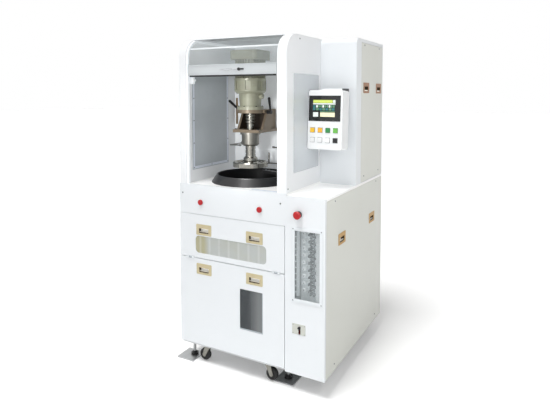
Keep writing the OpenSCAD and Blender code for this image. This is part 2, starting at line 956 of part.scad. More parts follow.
module drain_basin() {
    low = basin_z - basin_t;
    color("silver") placed() translate([bowl_x, bowl_y, 0]) {
        difference() {
            rotate_extrude($fn = 128) polygon([
                [collar_r, low], [basin_r + basin_t, low], [basin_r + basin_t, deck_under],
                [basin_r, deck_under], [basin_r, basin_z], [collar_r + basin_t, basin_z],
                [collar_r + basin_t, low + collar_h], [collar_r, low + collar_h]]);
            translate([spout_at.x, spout_at.y, low - over])
                cylinder(d = spout_d - 2 * basin_t, h = basin_t + 2 * over);
        }
        translate([spout_at.x, spout_at.y, tank_top + sink_gap]) difference() {
            cylinder(d = spout_d, h = low - tank_top - sink_gap);
            translate([0, 0, -over])
                cylinder(d = spout_d - 2 * basin_t, h = low - tank_top - sink_gap + 2 * over);
        }
    }
}

tank_half = [130, 180];
tank_r = 24;
tank_shoulder = 34;
tank_neck_d = 70;

module waste_tank() {
    low = under_h + tube + skin;
    mid = [bowl_x + spout_at.x, bowl_y + spout_at.y];
    color("aliceblue") placed() translate([mid.x, mid.y, 0]) {
        top_slab(low, tank_top - tank_shoulder - low) round_rect(-tank_half, tank_half, tank_r);
        difference() {
            translate([0, 0, tank_top - tank_shoulder]) cylinder(d = tank_neck_d, h = tank_shoulder);
            translate([0, 0, tank_top - tank_shoulder / 2])
                cylinder(d = tank_neck_d - 2 * skin, h = tank_shoulder);
        }
    }
}

module platen_drive() {
    color("dimgray") placed() translate([bowl_x, bowl_y, 0]) difference() {
        union() {
            translate([0, 0, drive_bore_z]) cylinder(r = drive_flange_r, h = bridge_t);
            translate([0, 0, drive_bore_z - drive_body_h]) cylinder(r = drive_body_r, h = drive_body_h);
            translate([0, 0, drive_bore_z - drive_body_h - drive_motor_h])
                cylinder(r = drive_motor_r - fin_t, h = drive_motor_h);
            for (n = [0:3]) translate([0, 0, drive_bore_z - drive_body_h - (n + 1) * drive_motor_h / 5])
                cylinder(r = drive_motor_r, h = drive_motor_h / 10);
            translate([0, 0, bridge_z]) cylinder(r = drive_boss_r, h = drive_top - bridge_z);
        }
        translate([0, 0, drive_bore_z + fit])
            cylinder(d = platen_shaft_d + 2 * fit, h = drive_top);
    }
}

module platen() {
    disc_top = pad_z - pad_t;
    disc_low = disc_top - platen_t;
    skirt_low = basin_z - basin_t + collar_h - collar_lap;
    hub_in = platen_hub_r - hub_wall;
    color("silver") placed() translate([bowl_x, bowl_y, 0]) {
        rotate_extrude($fn = 128) polygon([
            [0, drive_bore_z + over], [platen_shaft_d / 2, drive_bore_z + over],
            [platen_shaft_d / 2, disc_low - hub_wall], [hub_in, disc_low - hub_wall],
            [hub_in, skirt_low], [platen_hub_r, skirt_low], [platen_hub_r, disc_low],
            [platen_r, disc_low], [platen_r, disc_top], [0, disc_top]]);
        color("darkslategray") translate([0, 0, disc_top]) cylinder(r = platen_r - pad_inset, h = pad_t);
    }
}

// Enclosure, windows and door tracks

module enclosure_walls() {
    color("white") placed() for (x = [0, inner_x[1]]) side_slab(x, wall_t) difference() {
        wall_outline(0, wall_back);
        round_rect(win_lo, win_lo + [win_w, win_h], win_r);
    }
}

module enclosure_roof() {
    color("lightgray") placed()
        block([inner_x[0], roof_front, roof_z - roof_t], [inner_x[1], wall_back, roof_z]);
}

wall_hole_x = [head_x - neck_half - wall_open, head_x + neck_half + wall_open];
wall_hole_z = [base_z - head_stroke - wall_open, top_z + top_t + wall_open];
seam_rise = 152;
seam_z = left_deck + seam_rise;
back_groove = 2;

module back_wall() {
    lo = [inner_x[0], left_deck];
    hi = [inner_x[1], roof_z - roof_t];
    color("white") placed() difference() {
        union() {
            front_slab(chamber_d, back_t) rect(lo, hi);
            front_slab(chamber_d, back_fold) folded_rim(lo, hi);
        }
        front_slab(chamber_d - over, back_t + 2 * over)
            rect([wall_hole_x[0], wall_hole_z[0]], [wall_hole_x[1], wall_hole_z[1]]);
        block([lo.x + skin, chamber_d - over, seam_z],
            [hi.x - skin, chamber_d + back_groove / 2, seam_z + back_groove]);
    }
}

module fixed_windows() {
    lap = [pane_lap, pane_lap];
    win_hi = win_lo + [win_w, win_h];
    color("lightblue", 0.4) placed() {
        for (x = [inner_x[0], inner_x[1] - pane_t])
            side_slab(x, pane_t) rect(win_lo - lap, win_hi + lap);
        front_slab(skin, pane_t) rect(valve_lo - lap / 2, valve_lo + [valve_w, valve_h] + lap / 2);
        side_slab(film_x[0], film_x[1] - film_x[0]) intersection() {
            wall_strip(film_in - film_t / 2, film_t, chamber_d - over);
            rect([0, bend_z], [chamber_d, roof_z]);
        }
    }
}

catch_size = [28, 16, 40];
catch_y = 34;
catch_drop = 46;
catch_z = bar_z - catch_drop;
catch_knob = [12, 10];

module door_tracks() {
    color("white") placed() {
        for (side = [0, 1]) {
            x = side == 0 ? inner_x[0] : inner_x[1] - track_t;
            groove_x = side == 0 ? x + track_t - groove_d : x - over;
            difference() {
                side_slab(x, track_t) wall_strip(track_in, track_w, chamber_d);
                side_slab(groove_x, groove_d + over) wall_strip(groove_in, groove_w, chamber_d + over);
            }
        }
        block([inner_x[0], tie_y, tie_z], [inner_x[1], tie_y + tie_w, tie_z + tie_w]);
        block([inner_x[0], catch_y, catch_z],
            [inner_x[0] + catch_size.x, catch_y + catch_size.y, catch_z + catch_size.z]);
        x_bar(inner_x[0] + catch_size.x, inner_x[0] + catch_size.x + catch_knob[1],
            catch_y + catch_size.y / 2, catch_z + catch_size.z / 2, catch_knob[0]);
    }
}

// Sliding door

grip_z = bar_z + bar_h / 2;
rib_h = 5;
rib_d = 2;
latch_pin_d = 6;
latch_t = 7;
latch_w = 8;
seal_y = [11, 23];
seal_end = 10;

module door_bar() {
    shoe_y = wall_y + film_in - shoe_d / 2;
    lens_r = (pow(grip_w / 2, 2) + pow(grip_h / 2, 2)) / grip_h;
    color("white") placed() difference() {
        union() {
            side_slab(bar_x[0], bar_x[1] - bar_x[0]) difference() {
                rect([bar_y, bar_z], [bar_y + bar_d, bar_z + bar_h]);
                for (z = [bar_z + rib_h, bar_z + bar_h - 2 * rib_h])
                    rect([bar_y - over, z], [bar_y + rib_d, z + rib_h]);
            }
            block([film_x[0], shoe_y, bar_z], [film_x[1], shoe_y + shoe_d, bar_z + bar_h]);
            front_slab(bar_y - grip_t, grip_t) intersection() {
                translate([grip_x, grip_z - lens_r + grip_h / 2]) circle(lens_r, $fn = 256);
                translate([grip_x, grip_z + lens_r - grip_h / 2]) circle(lens_r, $fn = 256);
            }
        }
        y_bar(latch_x, grip_z, bar_y - over, bar_y + latch_d, latch_pin_d + 2 * fit);
    }
    color("black") placed() block([bar_x[0] + seal_end, seal_y[0], bar_z - seal_h],
        [bar_x[1] - seal_end, seal_y[1], bar_z]);
}

module door_curtain() {
    y = wall_y + film_in - film_t / 2;
    color("lightblue", 0.4) placed()
        block([film_x[0], y, bar_z + bar_h], [film_x[1], y + film_t, bend_z]);
}

module door_latch() {
    back = bar_y - fit;
    color("black") placed() {
        y_bar(latch_x, grip_z, back - latch_t, back, latch_d);
        y_bar(latch_x, grip_z, back - over, bar_y + latch_d - over, latch_pin_d);
        block([latch_x, back - latch_t, grip_z - latch_w / 2],
            [latch_x + latch_len, back, grip_z + latch_w / 2]);
    }
}

// Tower behind the enclosure

module tower_profile(front, low, inset, r) {
    rect([front + inset, low], [cab_d - inset, roof_z - inset - r]);
    rect([front + inset + r, low], [cab_d - inset, roof_z - inset]);
    translate([front + inset + r, roof_z - inset - r]) circle(r);
}

module tower_shell() {
    front = wall_back;
    color("white") placed() {
        difference() {
            union() {
                side_slab(encl_w, cab_w - encl_w) tower_profile(tower_y, deck_h, 0, tower_r);
                side_slab(0, encl_w) tower_profile(front, left_deck, 0, skin);
            }
            side_slab(encl_w + skin, cab_w - encl_w - 2 * skin)
                tower_profile(tower_y, deck_h - over, skin, tower_r - skin);
            side_slab(skin, encl_w) tower_profile(front, left_deck - over, skin, skin);
            front_slab(front - over, skin + 2 * over)
                rect([inner_x[0], left_deck], [inner_x[1], roof_z - roof_t]);
            side_slab(cab_w - skin - over, skin + 2 * over) tower_opening(tower_lo, tower_hi);
            front_slab(cab_d - skin - over, skin + 2 * over) tower_opening(tower_rear_lo, tower_rear_hi);
        }
        side_slab(cab_w - tray_d - skin, tray_d + skin) jamb_web(tower_lo, tower_hi);
        side_slab(cab_w - tray_d - skin, skin) jamb_seat(tower_lo, tower_hi);
        front_slab(cab_d - tray_d - skin, tray_d + skin) jamb_web(tower_rear_lo, tower_rear_hi);
        front_slab(cab_d - tray_d - skin, skin) jamb_seat(tower_rear_lo, tower_rear_hi);
    }
}

// Opening for a set-in panel with its seam all round
module tower_opening(lo, hi) {
    edge = [seam / 2, seam / 2];
    rect(lo - edge, hi + edge);
}

column_foot = [30, 150, 12];
rail_ends = [60, 700];
rail_z = [left_deck + rail_ends[0], left_deck + rail_ends[1]];
column_rib_t = 12;
column_rib = [110, 500];

module lift_guide() {
    color("lightslategray") placed() {
        block([head_x - column_half, column_y, left_deck],
            [head_x + column_half, column_y + column_t, left_deck + column_h]);
        block([head_x - column_half - column_foot.x, column_y, left_deck],
            [head_x + column_half + column_foot.x, column_y + column_foot.y, left_deck + column_foot.z]);
        for (x = rail_xs) {
            block([x - rail_w / 2, rail_y, rail_z[0]], [x + rail_w / 2, column_y, rail_z[1]]);
            side_slab(x - column_rib_t / 2, column_rib_t) polygon([
                [column_y + column_t, left_deck + column_foot.z],
                [column_y + column_t + column_rib[0], left_deck + column_foot.z],
                [column_y + column_t, left_deck + column_rib[1]]]);
        }
        translate([head_x, column_y - barrel_d / 2, barrel_z]) difference() {
            cylinder(d = barrel_d, h = barrel_h);
            translate([0, 0, -over]) cylinder(d = rod_d + 2 * fit, h = head_stroke + barrel_spare + over);
        }
    }
}

// Polishing head

carriage_low = base_z + base_t;
carriage_high = top_z + top_t;
block_h = 40;
block_gap = 3;
block_back = rail_y + rail_d - block_gap;
cover_half = 83;
cover_z = [wall_hole_z[0], wall_hole_z[1] + head_stroke];
base_bore = 31;
top_bore = 16;
rod_lug = [20, 12];

module guide_block(x, z) {
    difference() {
        block([x - block_w / 2, carriage_y + carriage_t, z], [x + block_w / 2, block_back, z + block_h]);
        block([x - rail_w / 2 - fit, rail_y - fit, z - over],
            [x + rail_w / 2 + fit, block_back + over, z + block_h + over]);
    }
}

module head_bracket() {
    color("tan") placed() {
        difference() {
            union() {
                top_slab(base_z, base_t)
                    rect([bracket_x[0], bracket_front], [bracket_x[1], bracket_back]);
                for (x = [bracket_x[0], bracket_x[1] - gusset_t]) side_slab(x, gusset_t) polygon([
                    [gusset_ys[0], base_z], [gusset_ys[2], base_z],
                    [gusset_ys[2], top_z], [gusset_ys[1], top_z]]);
                block([bracket_x[0], gusset_ys[2] - gusset_t, base_z],
                    [bracket_x[1], gusset_ys[2], top_z + top_t]);
                top_slab(top_z, top_t) rect([bracket_x[0], gusset_ys[0] + top_back],
                    [bracket_x[1], gusset_ys[2]]);
                translate([head_x, head_y, top_z]) cylinder(r = flange_r, h = top_t);
                block([head_x - neck_half, neck_front - over, base_z],
                    [head_x + neck_half, carriage_y, carriage_high]);
            }
            translate([head_x, head_y, base_z - over]) cylinder(r = base_bore, h = base_t + 2 * over);
            translate([head_x, head_y, top_z - over]) cylinder(r = top_bore, h = top_t + 2 * over);
            for (x = [bracket_x[0] - over, bracket_x[1] - lever_stud_len - fit])
                x_bar(x, x + lever_stud_len + over + fit, lever_y, lever_z, lever_stud_d + 2 * fit);
        }
        block([head_x - cover_half, carriage_y, carriage_low],
            [head_x + cover_half, carriage_y + carriage_t, carriage_high]);
        for (x = rail_xs, z = [carriage_low, carriage_high - block_h]) guide_block(x, z);
        block([head_x - rod_lug.x, carriage_y, carriage_high],
            [head_x + rod_lug.x, column_y - fit - over, carriage_high + rod_lug.y]);
        translate([head_x, column_y - barrel_d / 2, carriage_high + rod_lug.y])
            cylinder(d = rod_d, h = barrel_z + head_stroke + rod_spare - carriage_high - rod_lug.y);
    }
    color("white") placed() block([head_x - cover_half, cover_y, cover_z[0]],
        [head_x + cover_half, cover_y + cover_t, cover_z[1]]);
}

gear_edge = 14;
gear_pockets = 8;
pocket_size = [8, 30, 52];
cap_r = 26;
gland_d = 30;
gland_len = 40;
gland_in = 44;
drive_pin_h = 15;

module spindle_motor() {
    color("antiquewhite") placed() translate([head_x, head_y, 0]) {
        difference() {
            union() {
                translate([0, 0, taper_z - flange_h]) cylinder(r = flange_r, h = flange_h);
                translate([0, 0, taper_z]) cylinder(r1 = taper_rs[0], r2 = taper_rs[1], h = taper_h);
                rotate_extrude() polygon([[0, gear_z], [gear_r - gear_edge, gear_z],
                    [gear_r, gear_z + gear_edge], [gear_r, fin_z], [0, fin_z]]);
                x_bar(gland_in, gland_in + gland_len, 0, gear_z - gland_d / 2, gland_d);
            }
            for (n = [0:gear_pockets - 1]) rotate([0, 0, (n + 0.5) * 360 / gear_pockets])
                translate([gear_r - pocket_size.x, -pocket_size.y / 2, gear_z + gear_edge + pocket_size.x])
                    cube([2 * pocket_size.x, pocket_size.y, pocket_size.z]);
            translate([0, 0, taper_z - flange_h - over])
                cylinder(d = drive_pin_d + 2 * fit, h = drive_pin_h + 2 * over);
        }
        translate([0, 0, fin_z]) cylinder(r = fin_core_r, h = fin_h);
        for (n = [0:fin_count - 1]) rotate([0, 0, n * 360 / fin_count])
            translate([fin_core_r - fin_t, -fin_t / 2, fin_z])
                cube([fin_r - fin_core_r + fin_t, fin_t, fin_h]);
        top_slab(cap_z, cap_h) round_rect(-[motor_w, motor_w] / 2, [motor_w, motor_w] / 2, cap_r);
    }
}

module bearing_housing() {
    r = housing_d / 2;
    chamfer = 10;
    bore = shaft_d / 2 + fit;
    color("silver") placed() translate([head_x, head_y, 0]) rotate_extrude() polygon([
        [bore, housing_z], [r - chamfer, housing_z], [r, housing_z + chamfer],
        [r, base_z - housing_flange_h], [housing_flange_r, base_z - housing_flange_h],
        [housing_flange_r, base_z], [bore, base_z]]);
}

// Ring-shaped groove in a turned piece
module ring_groove(r, z, w, depth) {
    rotate_extrude() translate([r - depth, z]) square([2 * depth, w]);
}

groove = [5, 3];

module spindle_shaft() {
    color("silver") placed() translate([head_x, head_y, 0]) difference() {
        union() {
            translate([0, 0, chuck_z]) cylinder(r = chuck_r, h = chuck_h);
            translate([0, 0, chuck_z]) cylinder(d = shaft_d, h = coupling_z - chuck_z);
            translate([0, 0, coupling_z]) cylinder(r = coupling_r, h = coupling_h);
            translate([0, 0, coupling_z])
                cylinder(d = drive_pin_d, h = top_z + top_t + drive_pin_h - coupling_z);
        }
        for (z = [chuck_h / 4, chuck_h * 0.6]) ring_groove(chuck_r, chuck_z + z, groove[0], groove[1]);
        for (n = [1:3]) ring_groove(coupling_r, coupling_z + n * coupling_h / 4, groove[0], groove[1]);
    }
}

carrier_dish = [14, 8];
bolt_share = 0.62;
bolt_d = 13;
bolt_h = 7;

module carrier_head() {
    low = carrier_bot + wear_ring_h;
    top = low + carrier_h;
    dish = carrier_dish;
    color("silver") placed() translate([head_x, head_y, 0]) {
        rotate_extrude($fn = 128) polygon([
            [0, low], [carrier_r, low], [carrier_r, top - 2 * bolt_h / 3],
            [carrier_r - dish[0] / 3, top], [carrier_r - dish[0], top],
            [carrier_r - dish[0] - dish[1] / 2, top - dish[1]],
            [carrier_hub_r + dish[1], top - dish[1]], [carrier_hub_r, top],
            [carrier_hub_r, chuck_z - dish[1]], [carrier_hub_r - dish[1], chuck_z], [0, chuck_z]]);
        for (n = [0:5]) rotate([0, 0, (n + 0.5) * 60])
            translate([carrier_r * bolt_share, 0, top - dish[1]]) cylinder(d = bolt_d, h = bolt_h);
    }
    color("black") placed() translate([head_x, head_y, 0]) rotate_extrude($fn = 128) polygon([
        [carrier_r - 2 * dish[0], carrier_bot], [carrier_r - over, carrier_bot],
        [carrier_r, carrier_bot + over],
        [carrier_r, low], [carrier_r - 2 * dish[0], low]]);
}

lever_stud_len = 12;
lever_grip = [16, 11];

// Clamp lever on an axis along X: it leans outwards by its hub's length and turns forward
module clamp_lever(x, dir, hub, turn) {
    color("black") placed() translate([x, lever_y, lever_z]) {
        x_bar(min(dir * fit, dir * (hub + fit)), max(dir * fit, dir * (hub + fit)), 0, 0, lever_hub_d);
        x_bar(min(-dir * lever_stud_len, dir), max(-dir * lever_stud_len, dir), 0, 0, lever_stud_d);
        translate([dir * (hub - lever_grip[1] / 2 + fit), 0, 0]) rotate([turn, 0, 0])
            rotate([0, dir * lever_lean, 0]) {
                cylinder(d1 = lever_grip[1], d2 = lever_grip[0], h = lever_len * 0.9, $fn = 48);
                translate([0, 0, lever_len * 0.9]) sphere(d = lever_grip[0], $fn = 48);
            }
    }
}

module clamp_lever_left() {
    clamp_lever(bracket_x[0], -1, lever_hubs[0], lever_turns[0]);
}

module clamp_lever_right() {
    clamp_lever(bracket_x[1], 1, lever_hubs[1], lever_turns[1]);
}

// Slurry arm and rinse nozzles

arm_tip = [-177, 37];
arm_w = 24;
arm_t = 16;
arm_clear = 9;
arm_rest_z = left_deck + ring_h + arm_clear;
arm_screw = [14, 4];
arm_screws = [16, 38];
arm_nozzle = [10, 6];

module slurry_arm() {
    length = norm(arm_tip);
    color("black") placed() translate([arm_post.x, arm_post.y, 0]) {
        translate([0, 0, left_deck + arm_boss.y + fit])
            cylinder(d = arm_post_d, h = arm_rest_z + arm_t - left_deck - arm_boss.y - fit);
        translate([0, 0, deck_under + skin + over])
            cylinder(d = arm_pin_d, h = left_deck + arm_boss.y - deck_under);
        rotate([0, 0, atan2(arm_tip.y, arm_tip.x)]) {
            translate([0, -arm_w / 2, arm_rest_z]) cube([length, arm_w, arm_t]);
            translate([length, 0, arm_rest_z]) cylinder(d = arm_w, h = arm_t);
            for (x = arm_screws) translate([length - x, 0, arm_rest_z + arm_t])
                cylinder(d = arm_screw[0], h = arm_screw[1]);
            translate([length, 0, arm_rest_z - arm_nozzle[1]])
                cylinder(d = arm_nozzle[0], h = arm_nozzle[1] + over);
        }
    }
}

pipe_d = 8;
tip_d = 12;
left_pipe = [100, 360, 188, 175];
right_pipe = [410, 400, 182, 372];
post_pipe = [330, 430, 82, 67];
flange_pipe = [24, 4];

// Pipe from the back wall that turns sideways to its tip, whose height counts from the deck
module wall_nozzle(pipe) {
    run = abs(pipe[3] - pipe[0]);
    z = left_deck + pipe[2];
    y_bar(pipe[0], z, pipe[1], chamber_d, pipe_d);
    y_bar(pipe[0], z, chamber_d - flange_pipe[1], chamber_d, flange_pipe[0]);
    translate([pipe[0], pipe[1], z]) {
        sphere(d = pipe_d);
        rotate([0, sign(pipe[3] - pipe[0]) * 90, 0]) {
            cylinder(d = pipe_d, h = run);
            translate([0, 0, run - tip_d]) cylinder(d = tip_d, h = tip_d);
        }
    }
}

module rinse_nozzles() {
    color("dimgray") placed() {
        wall_nozzle(left_pipe);
        wall_nozzle(right_pipe);
        x_bar(post_pipe[0], inner_x[1], post_pipe[1], left_deck + post_pipe[2], pipe_d);
        x_bar(inner_x[1] - flange_pipe[1], inner_x[1], post_pipe[1], left_deck + post_pipe[2],
            flange_pipe[0]);
        translate([post_pipe[0], post_pipe[1], left_deck + post_pipe[2] - pipe_d / 2])
            cylinder(d = tip_d, h = post_pipe[3]);
    }
}

// Control box with its screen and keys

// Frame on the leaning face: X to the right, Y into the box, Z up the face
module on_box() {
    translate([hmi_x, hmi_y, hmi_z]) rotate([-hmi_tilt, 0, 0]) children();
}

module key_block(n, grow, y0, y1) {
    x = key_xs[(n - 1) % 4];
    z = key_zs[n > 4 ? 1 : 0];
    half = key_w / 2 + grow;
    block([x - half, y0, z - half], [x + half, y1, z + half]);
}

module key(n, tint) {
    color(tint) placed() on_box() key_block(n, 0, -key_out, key_deep);
}

module control_box() {
    color("white") placed() on_box() difference() {
        front_slab(0, hmi_d) round_rect([0, 0], [hmi_w, hmi_h], hmi_r);
        for (n = [1:8]) key_block(n, fit, -over, socket_deep);
    }
    color("dimgray") placed() block([hmi_x + arm_x[0], hmi_y + hmi_d - arm_lap, hmi_z + arm_z],
        [hmi_x + arm_x[1], tower_y, hmi_z + arm_z + arm_h]);
}

glass_t = 0.6;

module control_screen() {
    glass_hi = screen_lo + glass_lo + glass_size;
    color("black") placed() on_box() difference() {
        front_slab(-screen_out, screen_out) rect(screen_lo, screen_lo + screen_size);
        front_slab(-screen_out - over, 2 * over) rect(screen_lo + glass_lo, glass_hi);
    }
    color("lightgreen") placed() on_box()
        front_slab(-screen_out + over - glass_t, glass_t) rect(screen_lo + glass_lo, glass_hi);
}

module key_1() { key(1, "gold"); }
module key_2() { key(2, "orange"); }
module key_3() { key(3, "green"); }
module key_4() { key(4, "limegreen"); }
module key_5() { key(5, "white"); }
module key_6() { key(6, "white"); }
module key_7() { key(7, "white"); }
module key_8() { key(8, "black"); }

// Valve bank behind the valve window

valve_side = 17;
valve_x = valve_lo.x + valve_side;
plate_x = [post_x + tube, cab_w - tray_d];
valve_plate_t = 5;
fitting_w = 48;
fitting_d = 55;
elbow_d = 20;

module valve(z) {
    h = valve_pitch * valve_share;
    x1 = valve_x + valve_body.x;
    color("white") block([valve_x, valve_back_y - valve_body.y, z - h / 2], [x1, valve_back_y, z + h / 2]);
    color("gray") {
        block([x1, valve_back_y - fitting_d, z - h / 3], [x1 + fitting_w, valve_back_y, z + h / 3]);
        y_bar(x1 + needle_d, z, valve_back_y - fitting_d - needle_len, valve_back_y - fitting_d, needle_d);
        y_bar(x1 + needle_d, z, valve_back_y - fitting_d - needle_len / 3, valve_back_y - fitting_d, elbow_d);
        y_bar(x1 + fitting_w - elbow_d / 2, z, valve_back_y - fitting_d - elbow_d / 2,
            valve_back_y - fitting_d, elbow_d * 0.7);
    }
}

module valve_bank() {
    base = under_h + tube + skin;
    color("lightgray") placed() front_slab(valve_back_y, valve_plate_t)
        rect([plate_x[0], base], [plate_x[1], band_z + tube / 2]);
    placed() for (n = [0:valve_count - 1]) valve(valve_lo.y + valve_ends + (n + 0.5) * valve_pitch);
    color("black") placed() translate([valve_x - supply_d / 2, valve_back_y - valve_body.y / 2, valve_lo.y])
        cylinder(d = supply_d, h = valve_h);
}

// Buttons on the fascia

module start_button(x) {
    color("red") placed() turned_front(x, start_z) polygon([
        [0, -start_deep], [start_d / 2, -start_deep], [start_d / 2, start_out - start_edge],
        [start_d / 2 - start_edge, start_out], [0, start_out]]);
}

module start_button_left() {
    start_button(start_xs[0]);
}

module start_button_right() {
    start_button(start_xs[1]);
}

module estop_head() {
    r = estop_d / 2;
    back = estop_out - estop_head_t;
    color("red") placed() turned_front(estop_x, start_z) polygon([[0, -estop_deep],
        [estop_stem_d / 2, -estop_deep], [estop_stem_d / 2, back], [r - estop_edge, back],
        [r, back + estop_edge], [r, estop_out - estop_edge], [r - estop_edge, estop_out], [0, estop_out]]);
}

// Levelling feet and casters

module levelling_foot(x, y, shift) {
    translate([x + shift.x - plate_w / 2, y + shift.y - plate_w / 2, 0])
        cube([plate_w, plate_w, plate_t]);
    translate([x, y, plate_t]) {
        cylinder(d = foot_d, h = foot_h);
        translate([0, 0, foot_h]) cylinder(d1 = foot_d * 0.8, d2 = stem_d, h = foot_h);
        cylinder(d = stem_d, h = under_h - foot_pad_t - plate_t);
        translate([0, 0, under_h - foot_pad_t - plate_t - nut_h]) cylinder(d = nut_d, h = nut_h, $fn = 6);
    }
}

module levelling_feet() {
    color("silver") placed() for (side = [0, 1], row = [0, 1])
        levelling_foot(foot_x(side), foot_y(side, row),
            side == 1 ? [0, 0] : row == 0 ? plate_shift : [plate_shift.x, -plate_shift.y]);
}

leg_gap = 1.5;

// Fork that swivels on its pin, with both legs and the axle, trailing along X
module caster_fork(n) {
    heading = n % 2 == 0 ? -1 : 1;
    y0 = wheel_w / 2 + leg_gap;
    top = under_h - caster_pad - fit;
    tilt_x = heading * trail;
    color("silver") placed() translate([caster_at(n).x, caster_at(n).y, 0]) {
        difference() {
            translate([0, 0, top - crown_h]) cylinder(d = crown_d, h = crown_h);
            translate([0, 0, top - crown_h - over]) cylinder(d = swivel_d + 2 * fit, h = crown_h + 2 * over);
        }
        for (y = [-y0 - leg_t, y0]) front_slab(y, leg_t) {
            translate([tilt_x, wheel_z]) circle(d = leg_w);
            polygon([[-crown_d * leg_share, top - crown_h + leg_t],
                [crown_d * leg_share, top - crown_h + leg_t],
                [tilt_x + leg_w / 2, wheel_z], [tilt_x - leg_w / 2, wheel_z]]);
        }
        y_bar(tilt_x, wheel_z, -y0 - leg_t - over, y0 + leg_t + over, wheel_bore);
    }
}

leg_share = 0.36;
tyre_edge = 4;
hub_r = 9;
wheel_dish = 3;

module caster_wheel(n) {
    heading = n % 2 == 0 ? -1 : 1;
    w = wheel_w / 2;
    r = wheel_bore / 2 + fit;
    rim = wheel_r - 3 * tyre_edge;
    color("black") placed() translate([caster_at(n).x + heading * trail, caster_at(n).y, wheel_z])
        rotate([90, 0, 0]) rotate_extrude() polygon([[r, -w], [hub_r, -w], [hub_r, wheel_dish - w],
            [rim, wheel_dish - w], [rim + over, -w], [wheel_r - tyre_edge, -w], [wheel_r, tyre_edge - w],
            [wheel_r, w - tyre_edge], [wheel_r - tyre_edge, w], [rim + over, w], [rim, w - wheel_dish],
            [hub_r, w - wheel_dish], [hub_r, w], [r, w]]);
}

module caster_fork_1() { caster_fork(0); }
module caster_fork_2() { caster_fork(1); }
module caster_fork_3() { caster_fork(2); }
module caster_fork_4() { caster_fork(3); }
module caster_wheel_1() { caster_wheel(0); }
module caster_wheel_2() { caster_wheel(1); }
module caster_wheel_3() { caster_wheel(2); }
module caster_wheel_4() { caster_wheel(3); }

main_frame();
front_fascia();
fascia_trim();
outer_covers();
side_pulls();
deck_plate();
splash_ring();
drain_basin();
waste_tank();
platen_drive();
platen();
enclosure_walls();
enclosure_roof();
back_wall();
fixed_windows();
door_tracks();
door_bar();
door_curtain();
door_latch();
tower_shell();
lift_guide();
head_bracket();
spindle_motor();
bearing_housing();
spindle_shaft();
carrier_head();
clamp_lever_left();
clamp_lever_right();
slurry_arm();
rinse_nozzles();
control_box();
control_screen();
key_1();
key_2();
key_3();
key_4();
key_5();
key_6();
key_7();
key_8();
valve_bank();
breaker_toggle();
start_button_left();
start_button_right();
estop_head();
upper_panel();
upper_panel_window();
upper_panel_pulls();
lower_door();
lower_door_window();
lower_door_pulls();
levelling_feet();
caster_fork_1();
caster_fork_2();
caster_fork_3();
caster_fork_4();
caster_wheel_1();
caster_wheel_2();
caster_wheel_3();
caster_wheel_4();
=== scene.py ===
import math

import bmesh
import bpy
from mathutils import Matrix, Vector


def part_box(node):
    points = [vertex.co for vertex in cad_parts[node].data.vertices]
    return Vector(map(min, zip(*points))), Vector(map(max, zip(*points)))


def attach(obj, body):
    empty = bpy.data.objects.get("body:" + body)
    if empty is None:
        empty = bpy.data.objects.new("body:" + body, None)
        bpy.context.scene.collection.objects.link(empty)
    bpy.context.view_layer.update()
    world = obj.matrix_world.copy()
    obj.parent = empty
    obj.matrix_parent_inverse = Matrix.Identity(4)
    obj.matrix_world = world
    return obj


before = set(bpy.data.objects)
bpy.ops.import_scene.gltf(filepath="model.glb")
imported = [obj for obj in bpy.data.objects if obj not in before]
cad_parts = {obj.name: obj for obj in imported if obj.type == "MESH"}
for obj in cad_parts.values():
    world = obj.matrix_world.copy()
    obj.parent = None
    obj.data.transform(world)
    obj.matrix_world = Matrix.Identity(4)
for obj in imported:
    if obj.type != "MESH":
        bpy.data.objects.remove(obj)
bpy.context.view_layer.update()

# The machine is laid out in millimetres from its left front floor corner:
# X to the right, Y from the front to the back, Z up.
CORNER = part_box("front_fascia")[0]
MM = 0.001
CABINET_W, CABINET_D, DECK_Z = 881, 905, 1000
HEAD_X, HEAD_Y = 278, 303


def at(x, y, z):
    """A place on the machine, given in millimetres, in the frame's metres."""
    return Vector((CORNER.x + x * MM, CORNER.y + y * MM, z * MM))


# ---- Camera, light and floor ----

IMAGE_W, SENSOR_MM = 550, 36
LENS_PX = 505.7
CAMERA_AT = (1.3887, -2.6484, 1.5052)
CAMERA_TURN, CAMERA_PITCH = 0.4937, 0.0554
FRAME_SHIFT = (-0.006, -0.16)


def make_camera():
    data = bpy.data.cameras.new("studio_camera")
    data.sensor_width = SENSOR_MM
    data.lens = LENS_PX * data.sensor_width / IMAGE_W
    data.shift_x, data.shift_y = FRAME_SHIFT
    camera = bpy.data.objects.new("studio_camera", data)
    camera.location = CAMERA_AT
    camera.rotation_euler = (math.pi / 2 - CAMERA_PITCH, 0, CAMERA_TURN)
    bpy.context.scene.collection.objects.link(camera)
    bpy.context.scene.camera = camera


def make_lamp(name, kind, energy, place, target, size=None, angle=None, cone=None):
    """A lamp aimed at a place; cone is a spot's opening, soft share and radius."""
    data = bpy.data.lights.new(name, kind)
    data.energy = energy
    if cone is not None:
        data.spot_size, data.spot_blend, data.shadow_soft_size = cone
    if size is not None:
        data.size = size
    if angle is not None:
        data.angle = angle
    lamp = bpy.data.objects.new(name, data)
    lamp.location = place
    aim = Vector(target) - Vector(place)
    lamp.rotation_euler = aim.to_track_quat("-Z", "Y").to_euler()
    lamp.visible_camera = False
    bpy.context.scene.collection.objects.link(lamp)


def seen_directly(nodes, links):
    """1 where a camera, glossy or transmission ray arrives, else 0."""
    path = nodes.new("ShaderNodeLightPath")
    total = path.outputs["Is Camera Ray"]
    for name in ("Is Glossy Ray", "Is Transmission Ray"):
        add = nodes.new("ShaderNodeMath")
        add.operation, add.use_clamp = "ADD", True
        links.new(total, add.inputs[0])
        links.new(path.outputs[name], add.inputs[1])
        total = add.outputs[0]
    return total


